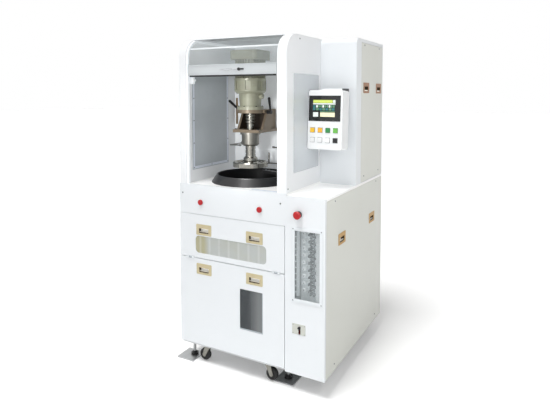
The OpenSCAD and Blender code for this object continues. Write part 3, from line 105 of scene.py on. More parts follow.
def make_world(ambient, away, dim, reach):
    """White backdrop; its light falls to the colour dim towards the side away."""
    world = bpy.data.worlds.new("studio")
    bpy.context.scene.world = world
    world.use_nodes = True
    nodes, links = world.node_tree.nodes, world.node_tree.links
    nodes.clear()
    soft = nodes.new("ShaderNodeBackground")
    soft.inputs["Strength"].default_value = ambient
    white = nodes.new("ShaderNodeBackground")
    white.inputs["Color"].default_value = (1, 1, 1, 1)
    white.inputs["Strength"].default_value = 1
    side = nodes.new("ShaderNodeVectorMath")
    side.operation = "DOT_PRODUCT"
    side.inputs[1].default_value = Vector(away).normalized()
    links.new(nodes.new("ShaderNodeTexCoord").outputs["Generated"], side.inputs[0])
    fall = nodes.new("ShaderNodeMapRange")
    fall.interpolation_type = "SMOOTHSTEP"
    fall.inputs["From Min"].default_value = 0
    fall.inputs["From Max"].default_value = reach
    links.new(side.outputs["Value"], fall.inputs["Value"])
    tint = nodes.new("ShaderNodeMix")
    tint.data_type = "RGBA"
    tint.inputs["A"].default_value = (1, 1, 1, 1)
    tint.inputs["B"].default_value = dim
    links.new(fall.outputs["Result"], tint.inputs["Factor"])
    links.new(tint.outputs["Result"], soft.inputs["Color"])
    mix = nodes.new("ShaderNodeMixShader")
    out = nodes.new("ShaderNodeOutputWorld")
    links.new(seen_directly(nodes, links), mix.inputs[0])
    links.new(soft.outputs[0], mix.inputs[1])
    links.new(white.outputs[0], mix.inputs[2])
    links.new(mix.outputs[0], out.inputs["Surface"])


def make_floor(half, albedo, shine, share):
    """Pale floor that keeps its shadow; a share of it glows for rays that see it."""
    mesh = bpy.data.meshes.new("studio_floor")
    mesh.from_pydata([(-half, -half, 0), (half, -half, 0), (half, half, 0), (-half, half, 0)],
                     [], [(0, 1, 2, 3)])
    floor = bpy.data.objects.new("studio_floor", mesh)
    bpy.context.scene.collection.objects.link(floor)
    paint = bpy.data.materials.new("studio_floor")
    paint.use_nodes = True
    nodes, links = paint.node_tree.nodes, paint.node_tree.links
    nodes.clear()
    matt = nodes.new("ShaderNodeBsdfDiffuse")
    matt.inputs["Color"].default_value = (albedo, albedo, albedo, 1)
    glowing = nodes.new("ShaderNodeEmission")
    glowing.inputs["Strength"].default_value = shine
    part = nodes.new("ShaderNodeMath")
    part.operation = "MULTIPLY"
    part.inputs[1].default_value = share
    mix = nodes.new("ShaderNodeMixShader")
    out = nodes.new("ShaderNodeOutputMaterial")
    links.new(seen_directly(nodes, links), part.inputs[0])
    links.new(part.outputs[0], mix.inputs[0])
    links.new(matt.outputs[0], mix.inputs[1])
    links.new(glowing.outputs[0], mix.inputs[2])
    links.new(mix.outputs[0], out.inputs["Surface"])
    mesh.materials.append(paint)


bpy.context.scene.view_settings.view_transform = "Standard"
make_camera()
make_world(ambient=0.52, away=(0.75, 0.66, 0), dim=(0.10, 0.088, 0.066, 1), reach=0.8)
make_lamp("key_sun", "SUN", energy=2.1, place=(-0.35, -1.25, 3.6), target=(0, 0, 0),
          angle=math.radians(20))
make_lamp("side_panel", "AREA", energy=9, place=(1.5, -1.15, 1.75), target=(0.45, -0.1, 0.9),
          size=0.8)
make_lamp("chamber_spot", "SPOT", energy=115, place=(0.1, -2.6, 1.55), target=at(310, 500, 1330),
          cone=(math.radians(17), 0.5, 0.22))
make_floor(half=40, albedo=0.90, shine=2.9, share=0.075)


# ---- Surface effects that materials share ----

COLOUR, NUMBER, ARROW = "NodeSocketColor", "NodeSocketFloat", "NodeSocketVector"


def new_effect(name, inputs, outputs):
    """An empty node group with its named inputs, their first values, and its outputs."""
    tree = bpy.data.node_groups.new(name, "ShaderNodeTree")
    for label, kind, value in inputs:
        socket = tree.interface.new_socket(label, in_out="INPUT", socket_type=kind)
        if value is not None:
            socket.default_value = value
    for label, kind in outputs:
        tree.interface.new_socket(label, in_out="OUTPUT", socket_type=kind)
    given = tree.nodes.new("NodeGroupInput").outputs
    return tree, given, tree.nodes.new("NodeGroupOutput").inputs


def noise(tree, vector, scale, detail=3.0, roughness=0.55):
    node = tree.nodes.new("ShaderNodeTexNoise")
    node.inputs["Detail"].default_value = detail
    node.inputs["Roughness"].default_value = roughness
    if isinstance(scale, (int, float)):
        node.inputs["Scale"].default_value = scale
    else:
        tree.links.new(scale, node.inputs["Scale"])
    tree.links.new(vector, node.inputs["Vector"])
    return node.outputs["Fac"]


def math_node(tree, operation, a, b=None, clamp=False):
    node = tree.nodes.new("ShaderNodeMath")
    node.operation, node.use_clamp = operation, clamp
    for socket, value in zip(node.inputs, (a, b)):
        if value is None:
            continue
        if isinstance(value, (int, float)):
            socket.default_value = value
        else:
            tree.links.new(value, socket)
    return node.outputs[0]


def ramp(tree, value, low, high):
    """Stretches low..high to 0..1 and clips the rest."""
    node = tree.nodes.new("ShaderNodeMapRange")
    node.inputs["From Min"].default_value = low
    node.inputs["From Max"].default_value = high
    tree.links.new(value, node.inputs["Value"])
    return node.outputs["Result"]


def stretched(tree, vector, factors):
    node = tree.nodes.new("ShaderNodeVectorMath")
    node.operation = "MULTIPLY"
    tree.links.new(vector, node.inputs[0])
    tree.links.new(factors, node.inputs[1])
    return node.outputs[0]


def mixed_colour(tree, factor, a, b):
    """Colour a, turning to b as factor rises; b is a socket or a fixed colour."""
    node = tree.nodes.new("ShaderNodeMix")
    node.data_type = "RGBA"
    tree.links.new(factor, node.inputs["Factor"])
    tree.links.new(a, node.inputs["A"])
    if isinstance(b, tuple):
        node.inputs["B"].default_value = b
    else:
        tree.links.new(b, node.inputs["B"])
    return node.outputs["Result"]


def weighted(tree, a, a_share, b, b_share, clamp=False):
    return math_node(tree, "ADD", math_node(tree, "MULTIPLY", a, a_share),
                     math_node(tree, "MULTIPLY", b, b_share), clamp)


def make_handling_marks():
    """Faint uneven tone of a used surface: cloudy patches with finer specks in them."""
    tree, given, out = new_effect(
        "handling marks",
        [("Vector", ARROW, None), ("Clean", COLOUR, None), ("Soiled", COLOUR, None),
         ("Scale", NUMBER, 6), ("Amount", NUMBER, 0.3)],
        [("Colour", COLOUR), ("Mask", NUMBER)])
    clouds = ramp(tree, noise(tree, given["Vector"], given["Scale"], detail=4.0), 0.38, 0.72)
    fine = math_node(tree, "MULTIPLY", given["Scale"], 9)
    specks = ramp(tree, noise(tree, given["Vector"], fine, detail=2.0), 0.52, 0.80)
    both = weighted(tree, clouds, 0.75, specks, 0.25, clamp=True)
    mask = math_node(tree, "MULTIPLY", both, given["Amount"])
    tree.links.new(mixed_colour(tree, mask, given["Clean"], given["Soiled"]), out["Colour"])
    tree.links.new(both, out["Mask"])
    return tree


def make_sprayed_relief():
    """Orange peel of sprayed enamel and the fine grain of moulded plastic."""
    tree, given, out = new_effect(
        "sprayed relief", [("Vector", ARROW, None), ("Scale", NUMBER, 400)], [("Height", NUMBER)])
    coarse = noise(tree, given["Vector"], given["Scale"], detail=1.0)
    finer = math_node(tree, "MULTIPLY", given["Scale"], 3.1)
    fine = noise(tree, given["Vector"], finer, detail=2.0)
    tree.links.new(weighted(tree, coarse, 0.7, fine, 0.3), out["Height"])
    return tree


def make_brushed_lines():
    """Fine lines drawn along one direction, for brushed, turned and extruded metal."""
    tree, given, out = new_effect(
        "brushed lines", [("Vector", ARROW, None), ("Stretch", ARROW, (30, 30, 900))],
        [("Height", NUMBER), ("Mask", NUMBER)])
    drawn = stretched(tree, given["Vector"], given["Stretch"])
    lines = noise(tree, drawn, 1.0, detail=4.0, roughness=0.7)
    tree.links.new(lines, out["Height"])
    tree.links.new(ramp(tree, lines, 0.35, 0.68), out["Mask"])
    return tree


def make_cell_bands():
    """Pale upright partitions seen through frosted sheet, and a warmer tone at its left end."""
    tree, given, out = new_effect(
        "cell bands",
        [("Vector", ARROW, None), ("Clean", COLOUR, None), ("Soiled", COLOUR, None),
         ("Pitch", NUMBER, 0.062), ("Left", NUMBER, 0)],
        [("Colour", COLOUR), ("Mask", NUMBER)])
    parts = tree.nodes.new("ShaderNodeSeparateXYZ")
    tree.links.new(given["Vector"], parts.inputs["Vector"])
    along = math_node(tree, "SUBTRACT", parts.outputs["X"], given["Left"])
    cell = math_node(tree, "FRACT", math_node(tree, "DIVIDE", along, given["Pitch"]))
    off_middle = math_node(tree, "ABSOLUTE", math_node(tree, "SUBTRACT", cell, 0.5))
    line = math_node(tree, "SUBTRACT", 1, ramp(tree, off_middle, 0.02, 0.16))
    warm = math_node(tree, "SUBTRACT", 1, ramp(tree, along, 0.055, 0.085))
    cloudy = ramp(tree, noise(tree, given["Vector"], 9, detail=3.0), 0.4, 0.7)
    tone = weighted(tree, warm, 0.9, cloudy, 0.25, clamp=True)
    base = mixed_colour(tree, tone, given["Clean"], given["Soiled"])
    faint = math_node(tree, "MULTIPLY", line, 0.24)
    tree.links.new(mixed_colour(tree, faint, base, (0.75, 0.78, 0.78, 1)), out["Colour"])
    tree.links.new(line, out["Mask"])
    return tree


def make_nap():
    """Short felted nap of a polishing cloth, wet in patches."""
    tree, given, out = new_effect(
        "felted nap", [("Vector", ARROW, None), ("Scale", NUMBER, 900)],
        [("Height", NUMBER), ("Mask", NUMBER)])
    cells = tree.nodes.new("ShaderNodeTexVoronoi")
    tree.links.new(given["Vector"], cells.inputs["Vector"])
    tree.links.new(given["Scale"], cells.inputs["Scale"])
    tree.links.new(cells.outputs["Distance"], out["Height"])
    wet = ramp(tree, noise(tree, given["Vector"], 14, detail=3.0), 0.4, 0.65)
    tree.links.new(wet, out["Mask"])
    return tree


HANDLING = make_handling_marks()
SPRAYED = make_sprayed_relief()
BRUSHED = make_brushed_lines()
NAP = make_nap()
CELLS = make_cell_bands()


# ---- Materials ----

COAT_ROUGHNESS, RELIEF_STRENGTH, EDGE_SAMPLES = 0.12, 0.5, 4
finishes = {}


def linear(code):
    """Colour written as six hex digits, as the renderer's linear values."""
    values = [int(code[i:i + 2], 16) / 255 for i in (0, 2, 4)]
    return tuple(v / 12.92 if v <= 0.04045 else ((v + 0.055) / 1.055) ** 2.4
                 for v in values) + (1,)


def make_finish(name, clean, soiled, rough, metallic=0.0, marks=(6, 0.3), rough_spread=0.05,
                relief=("sprayed", 420, 0.03), coat=0.0, alpha=1.0, edge=0.0008, glow=0.0,
                bands=None):
    """One material. marks is scale and amount of the soiled tone; relief is kind, scale and
    depth in millimetres; edge is the radius of its softened edges in metres; bands is pitch
    and left end of the partitions behind a sheet."""
    paint = bpy.data.materials.new(name)
    paint.use_nodes = True
    tree = paint.node_tree
    nodes, links = tree.nodes, tree.links
    shader = nodes["Principled BSDF"]
    shader.inputs["Metallic"].default_value = metallic
    shader.inputs["Coat Weight"].default_value = coat
    shader.inputs["Coat Roughness"].default_value = COAT_ROUGHNESS
    shader.inputs["Alpha"].default_value = alpha
    place = nodes.new("ShaderNodeTexCoord").outputs["Object"]

    def effect(group, **values):
        node = nodes.new("ShaderNodeGroup")
        node.node_tree = group
        links.new(place, node.inputs["Vector"])
        for label, value in values.items():
            node.inputs[label].default_value = value
        return node

    colours = dict(Clean=linear(clean), Soiled=linear(soiled))
    if bands:
        tone = effect(CELLS, Pitch=bands[0], Left=bands[1], **colours)
    else:
        tone = effect(HANDLING, Scale=marks[0], Amount=marks[1], **colours)
    links.new(tone.outputs["Colour"], shader.inputs["Base Color"])
    # Emission is painted light on these surfaces, apart from the screen picture's tiles.
    if glow:
        links.new(tone.outputs["Colour"], shader.inputs["Emission Color"])
        shader.inputs["Emission Strength"].default_value = glow
    kind, scale, depth = relief
    worn = tone.outputs["Mask"]
    if kind == "brushed":
        surface = effect(BRUSHED, Stretch=scale)
        worn = surface.outputs["Mask"]
    elif kind == "nap":
        surface = effect(NAP, Scale=scale)
        worn = surface.outputs["Mask"]
    else:
        surface = effect(SPRAYED, Scale=scale)
    spread = nodes.new("ShaderNodeMapRange")
    spread.inputs["To Min"].default_value = max(rough - rough_spread, 0.02)
    spread.inputs["To Max"].default_value = min(rough + rough_spread, 1)
    links.new(worn, spread.inputs["Value"])
    links.new(spread.outputs["Result"], shader.inputs["Roughness"])
    bump = nodes.new("ShaderNodeBump")
    bump.inputs["Strength"].default_value = RELIEF_STRENGTH
    bump.inputs["Distance"].default_value = depth * MM
    links.new(surface.outputs["Height"], bump.inputs["Height"])
    if edge:
        round_edge = nodes.new("ShaderNodeBevel")
        round_edge.samples = EDGE_SAMPLES
        round_edge.inputs["Radius"].default_value = edge
        links.new(round_edge.outputs["Normal"], bump.inputs["Normal"])
    links.new(bump.outputs["Normal"], shader.inputs["Normal"])
    finishes[name] = paint


# How far the brushed lines are packed along X, Y and Z.
LENGTHWISE, ACROSS, UPRIGHT = (30, 900, 900), (900, 30, 900), (900, 900, 30)
TURNED = (60, 60, 1500)

# Sprayed sheet metal.
ENAMEL = dict(rough=0.34, coat=0.2, marks=(3, 0.10), relief=("sprayed", 420, 0.012), edge=0.0011)
make_finish("front enamel", "e9edf0", "dde2e5", **ENAMEL)
make_finish("cover enamel", "dbddd5", "cccdc4", **ENAMEL)
# The deck's glow is painted light, lifting it where the enclosure's walls shade it.
make_finish("deck enamel painted light", "f8f8f7", "eaeae8", glow=0.12, **ENAMEL)
make_finish("wall enamel", "f1f3f5", "e2e6e8", **ENAMEL)
# The chamber's glow is painted light, lifting its shaded walls, roof and tracks.
make_finish("chamber enamel painted light", "eef1f3", "dfe4e7", glow=0.20, **ENAMEL)
make_finish("frame enamel", "cfd2d4", "b4b7b9", **ENAMEL)
make_finish("trim enamel", "e6ebee", "d6dbde", **ENAMEL)

# Flush pulls: plate, dark cup and bright tongue, the tongue's glow being painted light.
PULL_RELIEF = dict(relief=("brushed", LENGTHWISE, 0.02), edge=0.0006)
PULL = dict(rough=0.34, metallic=0.5, marks=(22, 0.35), **PULL_RELIEF)
make_finish("pull plate", "cabe9b", "a99c76", **PULL)
make_finish("tower pull", "996a42", "76502f", **PULL)
make_finish("side pull", "b78e45", "8f6b30", **PULL)
make_finish("pull shade", "4b3d2b", "2f261a", rough=0.5, metallic=0.3, marks=(22, 0.4), edge=0)
make_finish("pull tongue painted light", "f6f3ea", "e2dccb", rough=0.3, metallic=0.1, marks=(22, 0.3),
            glow=0.3, **PULL_RELIEF)

# Black mouldings and rubber.
make_finish("gloss black", "19191b", "28282b", rough=0.36, marks=(12, 0.4), coat=0.15,
            relief=("sprayed", 260, 0.04), edge=0.0015)
make_finish("soft black", "141416", "242426", rough=0.42, marks=(20, 0.5),
            relief=("sprayed", 900, 0.05))
make_finish("rubber", "1b1b1c", "343432", rough=0.75, marks=(24, 0.5),
            relief=("sprayed", 700, 0.08), edge=0.0012)

# Metals of the head, the feet, the door bar and the drive.
make_finish("turned steel", "a9a79f", "6f6c64", rough=0.20, metallic=0.97, marks=(16, 0.5),
            rough_spread=0.08, relief=("brushed", TURNED, 0.03))
make_finish("housing steel", "8f8d86", "6d6a63", rough=0.32, metallic=0.8, marks=(16, 0.4),
            relief=("brushed", TURNED, 0.03))
make_finish("pipe steel", "9c9b97", "7a7873", rough=0.28, metallic=0.9, marks=(16, 0.4),
            relief=("brushed", LENGTHWISE, 0.02), edge=0.0005)
make_finish("foot steel", "b5b7b8", "8d8f8f", rough=0.34, metallic=0.8, marks=(20, 0.4),
            relief=("brushed", ACROSS, 0.02), edge=0.0006)
make_finish("bracket alloy", "867866", "5b5042", rough=0.40, metallic=0.3, marks=(14, 0.4),
            relief=("brushed", UPRIGHT, 0.03), edge=0.001)
make_finish("bracket shade", "43372c", "2f261e", rough=0.5, metallic=0.3, marks=(14, 0.4),
            relief=("brushed", UPRIGHT, 0.03))
make_finish("motor enamel", "a3a48f", "757162", rough=0.4, metallic=0.05, marks=(14, 0.45),
            relief=("sprayed", 300, 0.08), coat=0.15, edge=0.0012)
make_finish("bar alloy", "c6cbcd", "b0b6b9", rough=0.34, metallic=0.15, marks=(8, 0.25),
            relief=("brushed", LENGTHWISE, 0.02))
make_finish("grip alloy", "c6c9cc", "a3a7ab", rough=0.3, metallic=0.5, marks=(12, 0.3),
            relief=("brushed", LENGTHWISE, 0.02))
make_finish("drive paint", "4b4f54", "36393c", rough=0.45, metallic=0.2, marks=(18, 0.4),
            relief=("sprayed", 350, 0.12), edge=0.001)
make_finish("column paint", "a9b1b7", "8d959b", rough=0.4, metallic=0.1, marks=(12, 0.3))
make_finish("strip brown", "8d7a5e", "6f5f48", rough=0.4, metallic=0.3, marks=(30, 0.4))
# Its glow is painted light that lifts the strips out of the wall's shade.
make_finish("sheet strip painted light", "ccd2dc", "b9c0ca", rough=0.35, metallic=0.1, marks=(20, 0.3),
            glow=0.12)

# Plastics, buttons, valves and the breaker.
make_finish("tank plastic", "dfe4e3", "c6cdcb", rough=0.45, marks=(10, 0.3),
            relief=("sprayed", 500, 0.05), edge=0.002)
make_finish("box plastic", "f2f4f5", "e0e3e4", rough=0.4, marks=(8, 0.2),
            relief=("sprayed", 900, 0.04), edge=0.0014)
# Its glow is painted light that lifts the valves in their shaded bay.
make_finish("valve plastic painted light", "e3e8ea", "c4cbce", rough=0.42, marks=(20, 0.35),
            relief=("sprayed", 700, 0.04), glow=0.15)
make_finish("fitting grey", "6b7174", "3d4245", rough=0.3, metallic=0.5, marks=(25, 0.5),
            relief=("brushed", ACROSS, 0.02), edge=0.0006)
make_finish("button red", "b8020f", "90020b", rough=0.34, marks=(30, 0.3), coat=0.1,
            relief=("sprayed", 600, 0.02), edge=0.0012)
make_finish("collar dark", "3b3c3e", "28292b", rough=0.4, metallic=0.2, marks=(25, 0.4))
make_finish("breaker plate", "cfd1c9", "b9bbb2", rough=0.35, metallic=0.2, marks=(30, 0.3))
make_finish("toggle socket", "8f1419", "5e0d10", rough=0.4, marks=(25, 0.4), edge=0)

# Clear, frosted and smoked sheets.
PANE = dict(marks=(3, 0.3), coat=0.2, edge=0, relief=("sprayed", 30, 0.01))
make_finish("clear sheet", "dfe9ec", "cfdcdf", rough=0.06, marks=(5, 0.3), rough_spread=0.03,
            alpha=0.09, edge=0, relief=("sprayed", 30, 0.02))
make_finish("valve sheet", "dfe9ec", "cfdcdf", rough=0.06, marks=(5, 0.3), alpha=0.16, edge=0,
            relief=("sprayed", 30, 0.01))
make_finish("side sheet", "eef2f6", "e0e7ec", rough=0.10, alpha=0.62, **PANE)
make_finish("outer sheet", "f1f6fa", "e2eaf0", rough=0.12, alpha=0.48, **PANE)
# The left-hand sheet's near-opaque grey is a painted reflection of a dark room.
make_finish("chamber sheet", "c0c7cc", "a3aaaf", rough=0.14, alpha=0.9,
            **{**PANE, "marks": (3, 0.5)})
make_finish("frosted sheet", "c3c8c6", "b9b594", rough=0.3, rough_spread=0.1, alpha=0.86,
            edge=0, bands=(0.062, CORNER.x + 0.106), relief=("sprayed", 60, 0.05))
make_finish("smoked sheet", "3d4347", "383d41", rough=0.12, alpha=0.80, edge=0,
            bands=(0.45, CORNER.x + 0.29), relief=("sprayed", 40, 0.03))

make_finish("polishing cloth", "2b2f2c", "3d423e", rough=0.85, marks=(20, 0.5),
            relief=("nap", 1100, 0.3), edge=0)

# Keys, display and fasteners.
KEY = dict(rough=0.25, marks=(40, 0.3), coat=0.4)
# The coloured keys' faint glow is painted light; they hold no lamps.
make_finish("key yellow", "edbd2e", "d9a61f", glow=0.08, **KEY)
make_finish("key amber", "f0b43a", "dd9f28", glow=0.08, **KEY)
make_finish("key green", "2b8a46", "217339", glow=0.05, **KEY)
make_finish("key lime", "69b64c", "559d3b", glow=0.05, **KEY)
make_finish("key white", "f3f4f4", "e0e2e2", **KEY)
make_finish("key rim", "6c7174", "54585b", rough=0.35, metallic=0.3, marks=(40, 0.3),
            edge=0.0004)
make_finish("screen glass", "0c0e10", "15181a", rough=0.08, marks=(9, 0.2), coat=0.5,
            relief=("sprayed", 50, 0.01))
TILE = dict(rough=0.3, marks=(60, 0.3), edge=0)
make_finish("tile pale", "dfe7e2", "c6d3cc", glow=0.25, **TILE)
make_finish("tile lime", "c9d86a", "b3c552", glow=0.25, **TILE)
make_finish("tile cream", "e8e3bf", "d8d2a8", glow=0.25, **TILE)
make_finish("tile green", "5b8a6a", "486f55", glow=0.2, **TILE)
make_finish("tile teal", "2f6f75", "255c61", glow=0.2, **TILE)
make_finish("screw steel", "86898b", "65686a", rough=0.3, metallic=0.85, marks=(60, 0.4),
            relief=("brushed", LENGTHWISE, 0.01), edge=0.0003)
make_finish("screw dark", "2a2b2c", "1b1c1c", rough=0.3, metallic=0.6, marks=(60, 0.4),
            edge=0.0003)

MAIN_FINISH = {
    "main_frame": "frame enamel", "front_fascia": "front enamel", "fascia_trim": "trim enamel",
    "outer_covers": "cover enamel", "side_pulls": "pull plate", "deck_plate": "deck enamel painted light",
    "splash_ring": "gloss black", "drain_basin": "turned steel", "waste_tank": "tank plastic",
    "platen_drive": "drive paint", "platen": "turned steel", "enclosure_walls": "wall enamel",
    "enclosure_roof": "chamber enamel painted light", "back_wall": "chamber enamel painted light",
    "fixed_windows": "clear sheet", "door_tracks": "chamber enamel painted light", "door_bar": "bar alloy",
    "door_curtain": "clear sheet", "door_latch": "soft black", "tower_shell": "front enamel",
    "lift_guide": "column paint", "head_bracket": "bracket alloy",
    "spindle_motor": "motor enamel", "bearing_housing": "housing steel",
    "spindle_shaft": "turned steel", "carrier_head": "turned steel",
    "clamp_lever_left": "soft black", "clamp_lever_right": "soft black",
    "slurry_arm": "soft black", "rinse_nozzles": "pipe steel", "control_box": "box plastic",
    "control_screen": "screen glass", "key_1": "key yellow", "key_2": "key amber",
    "key_3": "key green", "key_4": "key lime", "key_5": "key white", "key_6": "key white",
    "key_7": "key white", "key_8": "gloss black", "valve_bank": "valve plastic painted light",
    "breaker_toggle": "soft black", "start_button_left": "button red",
    "start_button_right": "button red", "estop_head": "button red",
    "upper_panel": "front enamel", "upper_panel_window": "frosted sheet",
    "upper_panel_pulls": "pull plate", "lower_door": "front enamel",
    "lower_door_window": "smoked sheet", "lower_door_pulls": "pull plate",
    "levelling_feet": "foot steel",
    **{f"caster_fork_{n}": "housing steel" for n in range(1, 5)},
    **{f"caster_wheel_{n}": "rubber" for n in range(1, 5)},
}


# ---- Finishes of loose parts and single faces of a node ----

SAME_POINT = 20000    # steps in a metre: corners nearer than a step count as one


def machine_box(points):
    """Lowest and highest corner of some points, in the machine's millimetres."""
    low = [min(p[i] for p in points) for i in range(3)]
    high = [max(p[i] for p in points) for i in range(3)]
    return ([(low[0] - CORNER.x) / MM, (low[1] - CORNER.y) / MM, low[2] / MM],
            [(high[0] - CORNER.x) / MM, (high[1] - CORNER.y) / MM, high[2] / MM])


def loose_parts(mesh):
    """Groups of polygons that share corners, by place and not by index."""
    owner = {}

    def root_of(k):
        while owner[k] != k:
            owner[k] = owner[owner[k]]
            k = owner[k]
        return k

    keys = [tuple(round(c * SAME_POINT) for c in v.co) for v in mesh.vertices]
    for k in keys:
        owner.setdefault(k, k)
    for face in mesh.polygons:
        first = root_of(keys[face.vertices[0]])
        for v in face.vertices[1:]:
            owner[root_of(keys[v])] = first
    groups = {}
    for face in mesh.polygons:
        groups.setdefault(root_of(keys[face.vertices[0]]), []).append(face.index)
    return list(groups.values())


def dress(node, main, by_part=None, by_face=None):
    """Gives a CAD node its material, and others to some loose parts or some faces."""
    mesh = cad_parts[node].data
    mesh.materials.clear()
    slots = {}

    def slot_of(name):
        if name not in slots:
            slots[name] = len(mesh.materials)
            mesh.materials.append(finishes[name])
        return slots[name]

    slot_of(main)
    for face in mesh.polygons:
        face.material_index = 0
    if by_part:
        for part in loose_parts(mesh):
            corners = [mesh.vertices[v].co for f in part for v in mesh.polygons[f].vertices]
            name = by_part(*machine_box(corners))
            if name:
                for f in part:
                    mesh.polygons[f].material_index = slot_of(name)
    if by_face:
        for face in mesh.polygons:
            centre = face.center
            name = by_face((centre.x - CORNER.x) / MM, (centre.y - CORNER.y) / MM,
                           centre.z / MM, face.normal)
            if name:
                face.material_index = slot_of(name)


SQUARE = 0.9          # a face looks along an axis when its normal passes this
PULL_FACE = 0.2       # depths in a flush pull: its plate's front face
PULL_LIP = (1.9, 10.1)
PULL_CUP = 18
TOWER_PULLS_Z = 1200
HINGE_XS, HINGE_Z, HINGE_R, HINGE_OUT = (72, 613), 600, 5.2, 4.5
HINGE_MIDDLE, HINGE_ENDS = 10.5, 23
CLOTH_Z, ARM_SCREWS_Z, CARRIER_PAD_Z, SEAL_Z, GRIP_Y = 968.05, 1076.2, 1089.9, 1605.9, 4.9
TOGGLE_X = 745


def trim_part(low, high):
    """The start buttons' collars pass the sheet; the breaker's plate is small and low."""
    if high[1] > 5 or low[1] < -5:
        return "collar dark"
    return "breaker plate" if 60 < high[0] - low[0] < 80 and high[2] < 400 else None


def window_part(low, high):
    """Left-hand sheet, right-hand sheet, and the one in front of the valves."""
    if high[0] < 60:
        return "chamber sheet"
    if low[0] > 600 and low[2] > DECK_Z:
        return "side sheet"
    return "valve sheet" if high[2] < DECK_Z else None


def valve_part(low, high):
    return "soft black" if high[0] - low[0] < 30 else None


def pull_on_front(x, y, z, normal):
    """The plate stays pale; in the cup the rear wall and the lip's top are bright with a painted
    glow, the other faces take the dark pull shade.
    """
    if y < PULL_FACE:
        return None
    if y > PULL_CUP and normal.y < -SQUARE:
        return "pull tongue painted light"
    if PULL_LIP[0] < y < PULL_LIP[1] and normal.z > SQUARE:
        return "pull tongue painted light"
    return "pull shade"


def pull_on_side(x, y, z, normal):
    """As on the front; the tower's pulls are darker, with a lip bright with a painted glow and a
    dark cup.
    """
    depth = CABINET_W - x
    on_tower = z > TOWER_PULLS_Z
    if depth < PULL_FACE:
        return "tower pull" if on_tower else None
    if PULL_LIP[0] < depth < PULL_LIP[1] and (
            normal.z > SQUARE or (on_tower and normal.x > SQUARE)):
        return "pull tongue painted light"
    if depth > PULL_CUP and normal.x > SQUARE and not on_tower:
        return "pull tongue painted light"
    return "pull shade"


def bracket_face(x, y, z, normal):
    """The open front of the bracket gets painted shade inside; behind the wall it takes the
    column's paint.
    """
    cover_y, wall_back, cheeks_z, cheek_x, web_y = (495.5, 499.5), 521, (1302, 1420), 25, 340
    if cover_y[0] < y < cover_y[1]:
        return "chamber enamel painted light"
    if y > wall_back:
        return "column paint"
    looks_inward = normal.x * (HEAD_X - x) > cheek_x
    if cheeks_z[0] < z < cheeks_z[1] and (
            looks_inward or (normal.y < -SQUARE and y > web_y)):
        return "bracket shade"
    return None


def on_hinge(x, y, z, reach):
    nearest = min(abs(x - hinge_x) for hinge_x in HINGE_XS)
    return y < HINGE_OUT and abs(z - HINGE_Z) < HINGE_R and nearest < reach


def valve_face(x, y, z, normal):
    """The solenoids' ends and the plugs on them."""
    if y < 70 and x > 790:
        return "soft black"
    return "fitting grey" if x > 797.5 else None


def above(height, name):
    return lambda x, y, z, normal: name if z > height else None


def below(height, name):
    return lambda x, y, z, normal: name if z < height else None


by_part = {
    "fascia_trim": trim_part, "fixed_windows": window_part, "valve_bank": valve_part,
    "side_pulls": lambda low, high: "side pull",
}
by_face = {
    "upper_panel_pulls": pull_on_front, "lower_door_pulls": pull_on_front,
    "side_pulls": pull_on_side, "head_bracket": bracket_face, "valve_bank": valve_face,
    "platen": above(CLOTH_Z, "polishing cloth"),
    "slurry_arm": above(ARM_SCREWS_Z, "screw steel"),
    "carrier_head": below(CARRIER_PAD_Z, "soft black"),
    "upper_panel": lambda x, y, z, normal: (
        "column paint" if on_hinge(x, y, z, HINGE_MIDDLE) else None),
    "main_frame": lambda x, y, z, normal: (
        "trim enamel" if on_hinge(x, y, z, HINGE_ENDS) else None),
    # the roof's underside takes the darker frame enamel as painted shade
    "enclosure_roof": lambda x, y, z, normal: "frame enamel" if normal.z < -SQUARE else None,
    # strip under the door's seal
    "deck_plate": lambda x, y, z, normal: (
        "sheet strip painted light" if 450 < x < 615 and 15.5 < y < 34.5 and z > 1008.1 else None),
    # seal below, grip in front
    "door_bar": lambda x, y, z, normal: (
        "rubber" if z < SEAL_Z else "grip alloy" if y < GRIP_Y else None),
    # mounting shoe behind the box
    "control_box": lambda x, y, z, normal: (
        "soft black" if y > 324 and 1495 < z < 1540 else None),
    # nuts and pads over the floor plates
    "levelling_feet": lambda x, y, z, normal: "soft black" if 6.05 < z < 26.5 else None,
    # socket of the breaker's toggle
    "fascia_trim": lambda x, y, z, normal: (
        "toggle socket" if 2.5 < y < 36.5 and abs(x - TOGGLE_X) < 6.2 else None),
}

for node, name in MAIN_FINISH.items():
    dress(node, name, by_part.get(node), by_face.get(node))


# ---- Shapes for the small pieces ----

FRONT, RIGHT, LEFT, BACK, UP = (0, -1, 0), (1, 0, 0), (-1, 0, 0), (0, 1, 0), (0, 0, 1)
SMOOTH_BELOW = math.radians(35)


def piece_from(bm, name, body, materials):
    """Closes a mesh into a piece that rides on a body and takes its finish from a slot."""
    mesh = bpy.data.meshes.new(name)
    bmesh.ops.recalc_face_normals(bm, faces=bm.faces)
    bm.to_mesh(mesh)
    bm.free()
    for material in materials:
        mesh.materials.append(finishes[material])
    piece = bpy.data.objects.new(name, mesh)
    bpy.context.scene.collection.objects.link(piece)
    mesh.shade_smooth()
    mesh.set_sharp_from_angle(angle=SMOOTH_BELOW)
    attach(piece, body)


def facing(place, axis):
    """Matrix that stands a shape drawn along +Z on a surface whose outward direction is axis."""
    turn = Vector((0, 0, 1)).rotation_difference(Vector(axis)).to_matrix().to_4x4()
    return Matrix.Translation(place) @ turn


